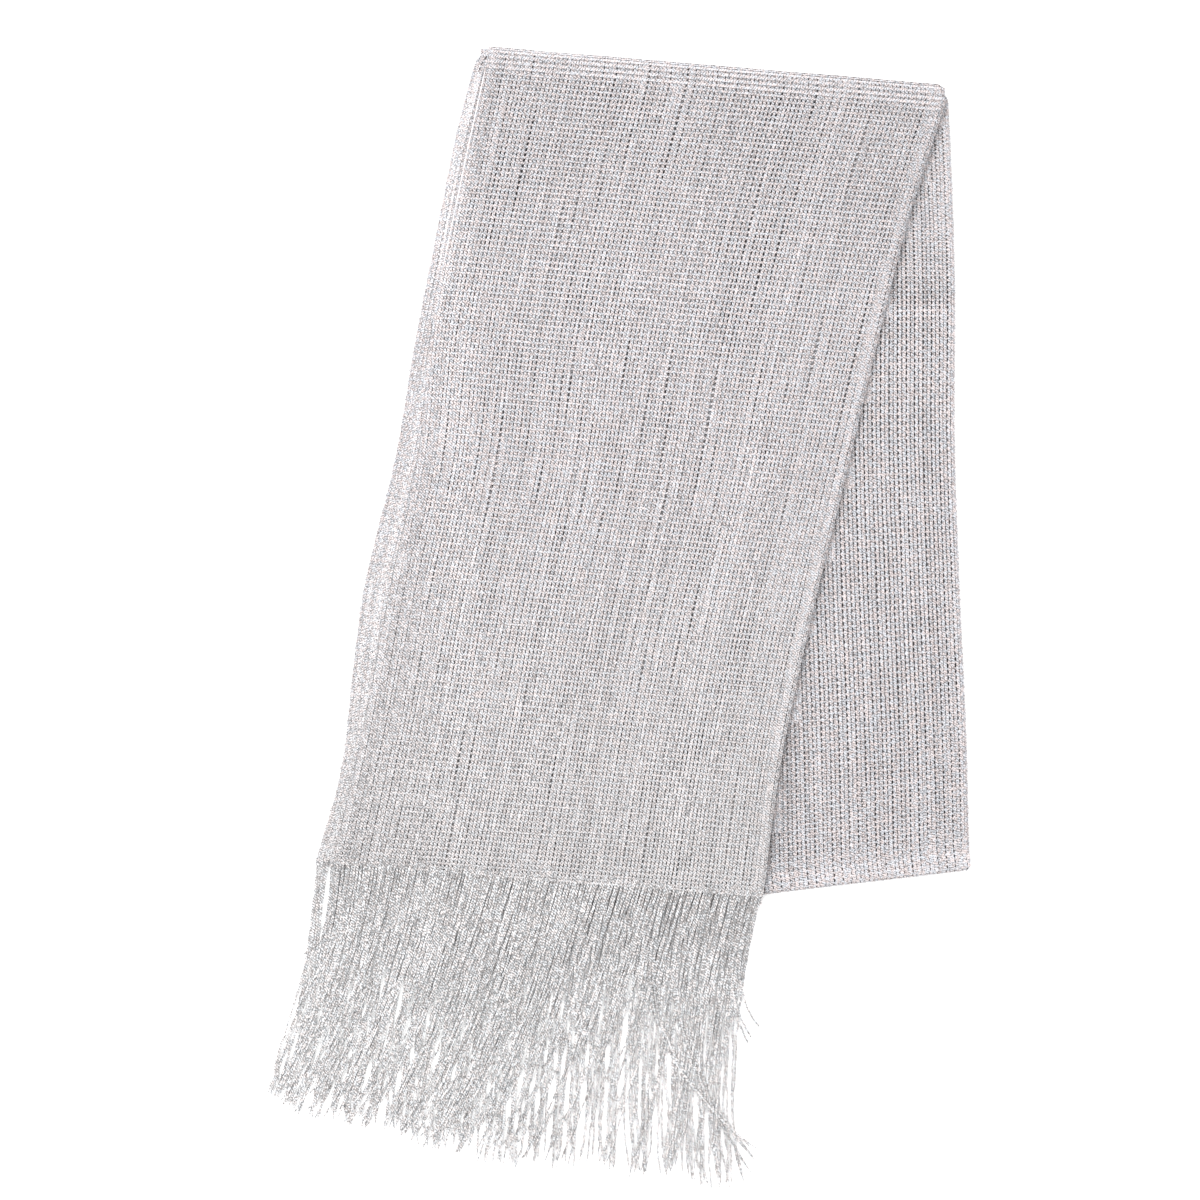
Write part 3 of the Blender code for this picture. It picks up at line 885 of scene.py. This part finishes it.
def front_lower_ply(draw, along):
    """The painted light grows over 4 mm past the upper selvedge, with a painted bright line along the slit: a
    bell curve, exp(-(distance / spread)^2)."""
    lines = front_lines(LOWER_ROWS)
    inset, end = lines["inset"][:, None], (lines["width"] - DOUBLED / 2)[:, None]
    slit = slit_at(along)
    low = warp_places(draw, FRONT_EVEN, len(along), drift=0.09, streaks=70)
    beyond = inset - low * end
    low = opened(low, (inset - SLIT_OFF) / end, SLIT_HALF * slit / end)
    points = on_lines(lines, 3 - low[:, ::-1])
    slit_light = np.exp(-((beyond - SLIT_LIGHT_OFF) / SLIT_LIGHT_SPREAD) ** 2)
    beside = (OUT_PAINTED_LIGHT * eased(beyond / (4 * MM)) + SLIT_PAINTED_LIGHT * slit * slit_light)[:, ::-1]
    beside = beside + TURN_PAINTED_LIGHT * on_turn(lines)
    last_weft = np.where(along == 0, LAST_PALER, 0.0)
    cloth = woven(points, draw, rise=0.1 * MM, warp_shade=beside, weft_shade=beside + last_weft)
    # The fuzz is painted lighter, as painted light at the selvedge.
    fuzz = [selvedge_loops(points[:, :-3:-1], draw, reach * MM, thick=0.4 * MM, lighter=4.0)
            for reach in (0.3, 0.8, 1.4)]
    return piece("front_lower_ply", gathered([cloth, *fuzz]), front_yarn, "front_fall")


front_lower = front_lower_ply(front_draw, front_along)

# %% [markdown]
# ## The back fall
#
# It shows to the right of the front fall and round the bottom fold, with its other face up, on which
# the warps stand out as ribs and the wefts lie behind them. So it has two lines to a weft: the warps
# swell and turn from line to line, which gives the ribs their beads.

# %% The back fall's lines
BACK_LENGTH = 552 * MM
COVERED = 14 * MM
LEAD_OUT = 7
EARLY_LINES = 10


def front_right_edge(y):
    """X of the front fall's lengthwise fold, straight between the rows."""
    return np.interp(y, FRONT_ROWS[:, 3], FRONT_ROWS[:, 2])


def back_flat_lines():
    """Lines from the top fold to the bottom one, with the top corners rounded."""
    flat = even_lines(BACK_ROWS, BACK_LENGTH, back_bed, up=-1, step=2)
    corner = corner_in(np.linspace(0, BACK_LENGTH, len(flat["inset"])))
    return drawn_in(flat, corner, corner)


back_flat = back_flat_lines()
back_turn = turn_lines(BACK_ROWS[-1], side=-1, high=BACK_Z, low=0.0, up=-1, corner=BOTTOM_CORNER,
                       reach=BOTTOM_REACH, straight=LEAD_OUT, steps=TURN_STEPS)
back_lines = joined(back_flat, back_turn)
BACK_EVEN = crowded(PLY_WARPS, at_start=0.2, at_end=0.12, fade=6)
back_draw = np.random.default_rng(5)
print(f"{len(back_flat['inset'])} lines down the back fall and {len(back_turn['inset'])} round its fold")

# %% [markdown]
# ## The back fall's upper ply
#
# A step crosses it where the stretch beneath ends: a band of painted shade and, just under that, a crease of
# raised wefts with painted light.
# Below it the cloth grows flatter, and it is in shadow beside the front fall. Only what shows, or lies
# just under the front fall's edge, is woven.

# %% The upper ply's places
CREASE = 0.333
SHADOW_RUN = 6 * MM
BACK_PLACES = {  # warps' width, wefts' rise, wefts' width, bead, warps' shade, wefts' shade
    "everywhere": (1.04, -0.32, 1.1, 0.8, 1.1, 1.1),
    "above the step": (0.08, 0, 0, 0.7, 0, 0),
    # Painted shade in the band above the step, and a painted highlight on the crease, whose wefts are also
    # raised.
    "dark step": (-0.1, 0, 0, 0, -2.0, -2.4),
    "light crease": (0, 0.3, 0, 0, 1.5, 2.0),
    "low part": (0.08, 0.22, -0.1, 0, -1.0, 0.2),
    # Painted light round the bottom fold, on its last lines and along the lengthwise fold. The bottom fold's
    # yarns are also wider and raised.
    "bottom fold": (0.2, 0.2, 0, 0, 0.8, 0),
    "last lines": (0, 0, 0, 0, 2.0, 2.0),
    "lengthwise fold": (0, 0, 0, 0, 2.6, 2.6),
    "shadow": (0, 0, 0, 0, -1.0, -1.0),
    "uneven": (0.04, 0.12, 0, 0, 0, 0),
    # The painted shade in the step's band is uneven.
    "uneven step": (0, 0, 0, 0, -1.0, -1.0),
}


def back_masks(draw, share, upper):
    """A mask for each place: share runs from 0 at the top fold to 1 at the bottom one. The crease and
    the shadow fade as exp(-x^2) and exp(-x), and the shadow deepens twice on the way down."""
    step = eased((share - CREASE + 0.036) / 0.036) * eased((CREASE + 0.014 - share) / 0.008)
    uneven = patches(draw, len(share), 30, upper.shape[1], 24)
    depth = 0.75 + 3.0 * eased((share - 0.45) / 0.2) + 4.5 * eased((share - 0.75) / 0.2)
    past_edge = np.clip(upper[..., 0] - front_right_edge(upper[..., 1]), 0, 1)
    return {
        "everywhere": 1.0,
        "above the step": eased((CREASE - 0.06 - share) / 0.05),
        "dark step": step,
        "light crease": np.exp(-((share - CREASE - 0.021) / 0.005) ** 2),
        "low part": eased((share - 0.70) / 0.2),
        "bottom fold": eased((share - 0.978) / 0.02),
        "last lines": eased((share - 1.004) / 0.004),
        "lengthwise fold": np.exp(-np.arange(upper.shape[1]) / 3.0),
        "shadow": depth * np.exp(-past_edge / SHADOW_RUN),
        "uneven": uneven,
        "uneven step": uneven * step,
    }


print(f"the step crosses the back fall {CREASE:.0%} of the way down")

# %% The back fall's upper ply
RIB_ZIGZAG = 0.24 * MM


def back_upper_ply(draw):
    """Ribs of beaded warps. A point is made past the front fall's edge less the covered strip, and all
    are made round the bottom fold, where the front fall ends."""
    count, flat_count = len(back_lines["inset"]), len(back_flat["inset"])
    places = 3 - warp_places(draw, BACK_EVEN, count, drift=0.05, streaks=50)[:, ::-1]
    upper = on_lines(back_lines, np.concatenate([np.tile(FOLD_WARPS, (count, 1)), places], axis=1))
    line = np.arange(count)[:, None]
    in_turn = line >= flat_count - EARLY_LINES
    shows = (upper[..., 0] > front_right_edge(upper[..., 1]) - COVERED) | in_turn
    look = summed(BACK_PLACES, back_masks(draw, line / (flat_count - 1), upper))
    cloth = woven(upper, draw, keep=shows, step=2, zigzag=RIB_ZIGZAG, **look)
    # The loops at the lengthwise fold are painted lighter, as painted light on the edge.
    fuzz = [selvedge_loops(upper[:, 1:3], draw, reach * MM, thick=0.4 * MM, lighter=3.0)
            for reach in (0.3, 0.7)]
    return piece("back_upper_ply", gathered([cloth, *fuzz]), cloth_yarn, "back_fall")


back_upper = back_upper_ply(back_draw)

# %% [markdown]
# ## What hardly shows of the back fall
#
# The lower ply shows at its edges and through the upper one's gaps, so it is woven, with one line to a
# weft. What the front fall hides of the upper ply is a plain thin shell.


# %% The back fall's lower ply and its covered part
def back_lower_ply(draw):
    """The plain weave on every second line, and on the last."""
    count = len(back_lines["inset"])
    second = np.r_[0:count:2, count - 1]
    lines = {key: value if key == "bed" else value[second] for key, value in back_lines.items()}
    points = on_lines(lines, warp_places(draw, BACK_EVEN, len(second), drift=0.1, streaks=0))
    return piece("back_lower_ply", woven(points, draw), cloth_yarn, "back_fall")


def back_covered_part():
    """The upper ply from its selvedge to about the front fall's edge, so that it meets the woven part."""
    coarse = coarse_grid(back_flat, start=2, end=3)
    hidden = coarse[..., 0] < front_right_edge(coarse[..., 1]) + 0.5 * COVERED
    return piece("back_covered", shell(coarse, hidden), cloth_yarn, "back_fall")


back_lower = back_lower_ply(back_draw)
back_covered = back_covered_part()

# %% [markdown]
# ## The hidden stretch
#
# It lies under the back fall and shows only from below and at its rims. Its lower ply is woven, with
# a few warps round the lengthwise fold, and its upper ply is a plain thin shell.

# %% The under fall
UNDER_LENGTH = 376 * MM
RIM_START, RIM_WARPS = 0.955, 6


def under_lower_ply(lines):
    """The woven ply, from a few warps short of the fold, round it, and on to its selvedge."""
    draw = np.random.default_rng(9)
    count = len(lines["inset"])
    even = crowded(PLY_WARPS, at_start=0.25, at_end=0.3, fade=6)
    places = 3 - warp_places(draw, even, count, drift=0.1, streaks=0)[:, ::-1]
    rim = np.concatenate([np.linspace(RIM_START, 1, RIM_WARPS), FOLD_WARPS])
    points = on_lines(lines, np.concatenate([np.tile(rim, (count, 1)), places], axis=1))
    return piece("under_lower_ply", woven(points, draw), cloth_yarn, "under_fall")


under_lines = even_lines(UNDER_ROWS, UNDER_LENGTH, under_bed, up=1)
under_lower = under_lower_ply(under_lines)
under_shell = shell(coarse_grid(under_lines, start=0, end=0.97))
under_covered = piece("under_covered", under_shell, cloth_yarn, "under_fall")

# %% [markdown]
# ## The fringe
#
# Past the last weft the warps are twisted into thin cords, which lie in tufts, cross each other, and
# end at uneven lengths. Here and there they part and the table shows. Hair curves would give strands
# quickly, but the part is kept as meshes, so each cord is a strip of its own along a curve, and a short
# table says where the cords of each fringe end.

# %% Where the cords end
# share of the hem, tip x, tip y, bow to the right (mm), how much painted shade near the cloth
TOP_TIPS = np.array([
    (0.00, -228.0, -306.0, 11.0, 1.0), (0.12, -202.0, -320.0, 3.0, 2.5), (0.30, -160.0, -328.0, -5.0, 0.5),
    (0.50, -108.0, -340.0, -9.0, 0.0), (0.70, -46.0, -349.0, -11.0, 0.5), (0.85, 10.0, -354.0, -11.0, 2.0),
    (1.00, 72.0, -360.0, -10.0, 2.0),
])
LOWER_TIPS = np.array([
    (0.00, -226.0, -304.0, 12.0, 0.0), (0.09, -203.5, -321.0, 6.0, 1.5), (0.25, -151.5, -331.0, 0.0, 2.5),
    (0.38, -112.5, -342.0, 0.0, 2.5), (0.50, -73.5, -351.0, 0.0, 2.5), (0.66, -21.5, -354.0, 0.0, 2.5),
    (0.82, 30.6, -360.0, 0.0, 2.5), (0.92, 62.0, -366.0, -4.0, 2.5), (1.00, 84.0, -367.0, -9.0, 1.0),
])
UNDER_TIPS = np.array([(0.0, -80.0, 342.0, 0, 0), (0.5, 64.0, 334.0, 0, 0), (1.0, 205.0, 318.0, 0, 0)])
# share, tip x, tip y, extra bow (mm)
TOP_STRAYS = [
    (0.775, 93.0, -349.0, 0.0), (0.785, 92.0, -348.0, 0.0), (0.83, 93.6, -356.0, 0.0),
    (0.84, 94.0, -354.0, 0.0), (0.88, 90.4, -364.0, -3.0), (0.60, 14.0, -329.0, 0.0),
    (0.975, 91.0, -277.0, -8.0), (0.99, 88.5, -282.0, -9.0), (1.00, 93.0, -271.0, -6.0),
]
# share, half-width (mm), start and end along the cords
TOP_PARTINGS = [
    (0.025, 0.6, -0.1, 0.8), (0.06, 0.5, -0.1, 0.5), (0.095, 0.6, -0.2, 0.6), (0.14, 0.5, 0.0, 0.5),
    (0.19, 0.5, -0.1, 0.4), (0.30, 0.4, 0.0, 0.4), (0.42, 0.5, 0.0, 0.5), (0.54, 0.6, 0.1, 0.6),
    (0.62, 0.5, -0.1, 0.5), (0.70, 0.6, 0.0, 0.6), (0.79, 0.5, -0.1, 0.5), (0.87, 1.5, 0.15, 0.45),
    (0.93, 0.5, -0.1, 0.4),
]
LOWER_PARTINGS = [(0.03, 1.7, -0.05, 0.42), (0.84, 1.5, 0.15, 0.45)]
print(len(TOP_STRAYS), "stray cords and", len(TOP_PARTINGS) + len(LOWER_PARTINGS), "partings")

# %% [markdown]
# ## A twisted cord
#
# A cord is narrow and rather flat, and it swells at each turn of its twist, so it looks softly beaded
# from above. A round tube would need three times the faces. Two crested strips, back to back, look the
# same at this size.

# %% Cords along their paths
CORD_CREST = 0.28 * MM
TURN_PER_RING, SWELL, ROLL = 2.9, 0.07, 0.2
END_RINGS = 5
OWN_TONE, STREAK_TONE, BEAD_TONE, RING_TONE = 1.3, 1.4, 1.2, 1.3
# Painted shade: cords darker near the cloth, and more so in each fringe's own band.
ROOT_PAINTED_SHADE, BAND_PAINTED_SHADE = 2.7, 3


def cords(centre, wide, darker, draw):
    """Cords along many paths at once: centre holds one path for each first index. A cord is two strips
    with a crest each, back to back. It swells at each turn of its twist, rolls a little from side to
    side, and shrinks over the last rings. Near the cloth it gets painted shade, and more of it by a number of
    its own."""
    strands, rings = centre.shape[:2]
    along = unit(np.gradient(centre, axis=1))
    level = unit(np.cross(along, np.array((0.0, 0.0, 1.0))))
    ring = np.arange(rings)
    roll = ROLL * smooth_noise(draw, rings, 12, strands).T[..., None]
    side = level * np.cos(roll) + np.cross(level, along) * np.sin(roll)
    face = np.cross(side, along)
    start = draw.uniform(0, 2 * np.pi, (strands, 1))
    uneven = np.cumsum(0.4 * draw.standard_normal((strands, rings)), axis=1)
    swell = 1 + SWELL * np.sin(ring * TURN_PER_RING + start + uneven)
    taper = np.clip((rings - ring) / END_RINGS, 0.3, 1)[None] ** 0.6
    streaks = smooth_noise(draw, rings, 8, strands).T
    beads = smooth_noise(draw, rings, rings // 2, strands).T
    own = np.minimum(draw.standard_normal((strands, 1)), 0.9)
    shade = OWN_TONE * own + STREAK_TONE * streaks + BEAD_TONE * beads
    shade += RING_TONE * draw.standard_normal(shade.shape) - ROOT_PAINTED_SHADE * (1 - eased(ring / (0.9 * rings)))
    shade -= (darker * BAND_PAINTED_SHADE * draw.random(strands) ** 2)[:, None] * (1 - eased(ring / (0.6 * rings)))
    halves = [ribbons(centre, way * side, way * face, wide * taper * swell, shade, crest=CORD_CREST)
              for way in (1, -1)]
    return gathered(halves)


print(f"a cord swells once in {2 * np.pi / TURN_PER_RING:.1f} rings")

# %% [markdown]
# ## How the cords lie
#
# A cord leaves the hem along its warps, bows to one side and ends near the middle of its tuft. On the
# way it wanders with its neighbours and by itself, and it curls at the tip. All cords of a fringe are
# worked out at once, as one array of paths.

# %% Where a fringe's cords end
TUFT_SIZE, TUFT_BLUR, TUFT_PULL = 3.4, 0.35, 0.25
AIM_BLUR = 0.003
STRAYING, STRAY_REACH = 0.09, 8 * MM
TUFT_SHORTER, ALL_LONGER = 6 * MM, 10 * MM


def heading(rows, share):
    """Unit vector in plan from the second row to the first, at a share of the way across."""
    ends = [unit(rows[0, i:i + 2] - rows[1, i:i + 2]) for i in (0, 2)]
    share = np.asarray(share)[..., None]
    return unit(ends[0] * (1 - share) + ends[1] * share)


def none_shorter(share, draw):
    """No cord ends early."""
    return np.zeros(len(share))


def some_shorter(share, draw):
    """A few cords of the top fringe end early, and most do right of its middle."""
    there = eased((share - 0.62) / 0.05) * eased((0.95 - share) / 0.04)
    early = draw.random(len(share)) < 0.18 + 0.42 * there
    return early * draw.uniform(60, 85, len(share)) * (0.75 + 0.25 * there) * MM


def cord_tips(draw, tips, share, root, across, ragged, shorter):
    """Tips in plan: each is where the cord's share falls in the table, drawn to the middle of its tuft
    and set back by a random length. A few stray sideways, fewer towards the fringe's sides."""
    count = len(share)
    tuft = np.floor(share * count / TUFT_SIZE + TUFT_BLUR * draw.standard_normal(count))
    aim = share + TUFT_PULL * ((tuft + 0.5) * TUFT_SIZE / count - share)
    aim = np.clip(aim + AIM_BLUR * draw.standard_normal(count), -0.02, 1.02)
    tip = MM * np.stack([np.interp(aim, tips[:, 0], tips[:, i]) for i in (1, 2)], axis=-1)
    straying = np.where(draw.random(count) < STRAYING, draw.standard_normal(count) * STRAY_REACH, 0)
    straying *= np.minimum(1, 6 * np.minimum(share, 1 - share))
    tip = tip + across * straying[:, None]
    tuft_short = draw.random(count + 2)[np.clip(tuft, 0, count + 1).astype(int)] * TUFT_SHORTER
    short = tuft_short + draw.exponential(ragged, count) - ALL_LONGER + shorter(share, draw)
    return tip - unit(tip - root) * short[:, None]


print(f"a tuft has {TUFT_SIZE} cords on average")

# %% A fringe's paths
FIRST_BEND, SECOND_BEND = 0.25, 0.58
HIDDEN_ROOT = 5 * MM
TOGETHER, ALONE, CRINKLE = 0.7 * MM, 0.75 * MM, 0.2 * MM
PARTING_FADE = 0.015
CURL_START, CURL = 0.88, 2.5 * MM


def cord_paths(draw, ahead, across, root, tip, bow, share, partings, rings):
    """Paths in plan. Each is a cubic curve from root to tip that leaves along the warps and bows to one
    side. Sideways it moves with its neighbours and alone, by smooth noise that grows along it. At a
    parting the cords on either side stand off as half a sine, and the tips curl by a square."""
    count = len(share)
    length = np.linalg.norm(tip - root, axis=-1)[:, None]
    first = root + ahead * length * FIRST_BEND + across * bow[:, None] * 0.5
    second = root + ahead * length * SECOND_BEND + across * bow[:, None]
    root = root - ahead * (draw.uniform(0, 1, count) * HIDDEN_ROOT)[:, None]
    t = np.linspace(0, 1, rings)[None, :, None]
    path = root[:, None] * (1 - t) ** 3 + first[:, None] * 3 * t * (1 - t) ** 2
    path = path + second[:, None] * 3 * t**2 * (1 - t) + tip[:, None] * t**3
    together = patches(draw, rings, 4, count, round(count / 4)).T[..., None]
    alone = smooth_noise(draw, rings, 5, count).T[..., None]
    crinkle = smooth_noise(draw, rings, 40, count).T[..., None]
    fan = eased(t * 3)
    path = path + across * ((together * TOGETHER + alone * ALONE) * t * fan + crinkle * CRINKLE * fan)
    for place, half, start, end in partings:
        off = (share - place)[:, None, None]
        push = np.where(off < 0, -1, 1) * np.exp(-np.abs(off) / PARTING_FADE) * half * MM
        path = path + across * push * np.sin(np.pi * np.clip((t - start) / (end - start), 0, 1))
    curl = np.clip((t - CURL_START) / (1 - CURL_START), 0, 1) ** 2
    return path + across * curl * (draw.standard_normal(count) * CURL)[:, None, None]


print(f"a cord starts up to {HIDDEN_ROOT / MM:.0f} mm inside the cloth")

# %% [markdown]
# ## A whole fringe
#
# The cords lie on the same bed as the cloth, a little above it and sinking to it past the hem. They get
# narrower towards their tips, where the twist has opened and strands have come away.

# %% A fringe
CORD_WIDE = 1.85 * MM
TIP_NARROWER, ROOT_NARROWER = 0.3, 0.14
LEVEL_WAVE = 0.32 * MM


def fringe(name, node, rows, tips, count, rings, seed, inset, height, sink, ragged, shorter,
           strays=(), partings=()):
    """Cords from a cloth's end: roots evenly along the hem, past the inset, and tips by the table. A
    stray takes over the tip of one cord."""
    draw = np.random.default_rng(seed)
    left, right = rows[0, 0:2], rows[0, 2:4]
    across = unit(right - left)
    left = left + across * inset
    width = np.linalg.norm(right - left) - DOUBLED / 2
    share = (np.arange(count) + 0.5) / count
    root = left + across * (share * width)[:, None]
    tip = cord_tips(draw, tips, share, root, across, ragged, shorter)
    bow = MM * np.interp(share, tips[:, 0], tips[:, 3])
    for place, x, y, more in strays:
        cord = min(int(place * count), count - 1)
        tip[cord] = (x * MM, y * MM)
        bow[cord] += more * MM
    path = cord_paths(draw, heading(rows, share), across, root, tip, bow, share, partings, rings)
    t = np.linspace(0, 1, rings)[None]
    level = height(path) - sink * eased(t * 2.5) + LEVEL_WAVE * smooth_noise(draw, rings, 7, count).T
    centre = np.concatenate([path, level[..., None]], axis=-1)
    profile = 1 - TIP_NARROWER * eased((t - 0.2) / 0.4) - ROOT_NARROWER * (1 - eased(t / 0.25))
    spread = np.clip(1 + WIDTH_SPREAD * draw.standard_normal((count, rings)), 0.7, 1.3)
    # Painted shade near the cloth, from the tables' last column.
    darker = np.interp(share, tips[:, 0], tips[:, 4])
    whole = cords(centre, CORD_WIDE * profile * spread, darker, draw)
    return piece(name, whole, fringe_yarn, node)


def above(bed, height):
    """A bed raised by a height."""
    return lambda plan: bed(plan) + height


print(f"a cord is {CORD_WIDE / MM:.2f} mm wide, and {1 - TIP_NARROWER:.0%} of that towards its tip")


# %% The three fringes
FRINGE_CORDS, FRINGE_RINGS = 140, 140
HIDDEN_CORDS, HIDDEN_RINGS = 60, 80
FRINGE_FLOOR_GAP = 0.3 * MM
floor = drape(FRINGE_FLOOR_GAP)
fringe_top = fringe(
    "top_fringe_cords", "front_fringe_top", FRONT_ROWS, TOP_TIPS, FRINGE_CORDS, FRINGE_RINGS, 21,
    inset=FRONT_ROWS[0, 4], height=above(floor, 2.0 * MM), sink=0.7 * MM, ragged=9 * MM,
    shorter=some_shorter, strays=TOP_STRAYS, partings=TOP_PARTINGS,
)
fringe_lower = fringe(
    "lower_fringe_cords", "front_fringe_lower", LOWER_ROWS, LOWER_TIPS, FRINGE_CORDS, FRINGE_RINGS, 24,
    inset=2 * MM, height=above(floor, 0.75 * MM), sink=0.0, ragged=3 * MM,
    shorter=none_shorter, partings=LOWER_PARTINGS,
)
fringe_under = fringe(
    "under_fringe_cords", "under_fringe", UNDER_ROWS[::-1], UNDER_TIPS, HIDDEN_CORDS, HIDDEN_RINGS, 23,
    inset=3 * MM, height=above(under_bed, 0.8 * MM), sink=0.0, ragged=5 * MM, shorter=none_shorter,
)

# %% [markdown]
# ## Sheets
#
# Each ply is the size that it was cut to: half the cloth's width, by the length of its stretch. The
# back fall's upper ply is woven over only a part of that width.

# %% [markdown]
# ## The table and the light
#
# A white table and an even white sky wash out the shadows, as on a light table. A small lamp at the
# upper left brings out the weave, and a large one across from it fills in.

# %% Table, lamps and sky
TABLE_REACH, TABLE_DROP = 4.0, 0.15 * MM
SKY_STRENGTH = 1.38


def table():
    """A white square under the stole, a hair below it."""
    mesh = bpy.data.meshes.new("table")
    corners = [(-1, -1), (1, -1), (1, 1), (-1, 1)]
    points = [(x * TABLE_REACH, y * TABLE_REACH, -TABLE_DROP) for x, y in corners]
    mesh.from_pydata(points, [], [(0, 1, 2, 3)])
    obj = bpy.data.objects.new("table", mesh)
    bpy.context.scene.collection.objects.link(obj)
    g = Graph("table_white")
    mesh.materials.append(g.finish(Base_Color=(0.93, 0.93, 0.93, 1), Roughness=0.9))


def lamp(name, place, size, power):
    """A round lamp turned towards the stole."""
    data = bpy.data.lights.new(name, "AREA")
    data.shape, data.size, data.energy = "DISK", size, power
    obj = bpy.data.objects.new(name, data)
    bpy.context.scene.collection.objects.link(obj)
    obj.location = place
    obj.rotation_euler = Vector(place).to_track_quat("Z", "Y").to_euler()


def white_sky(strength):
    """White light from all round, of one strength."""
    world = bpy.data.worlds.new("studio")
    world.use_nodes = True
    background = world.node_tree.nodes["Background"]
    background.inputs["Color"].default_value = (1, 1, 1, 1)
    background.inputs["Strength"].default_value = strength
    bpy.context.scene.world = world


table()
lamp("key_light", place=(-1.3, 0.9, 1.6), size=0.9, power=45)
lamp("fill_light", place=(1.2, -0.8, 1.8), size=1.6, power=13)
white_sky(SKY_STRENGTH)
view = bpy.context.scene.view_settings
view.view_transform = "Standard"
view.look = "None"
print("lit by", len(bpy.data.lights), "lamps and the sky")
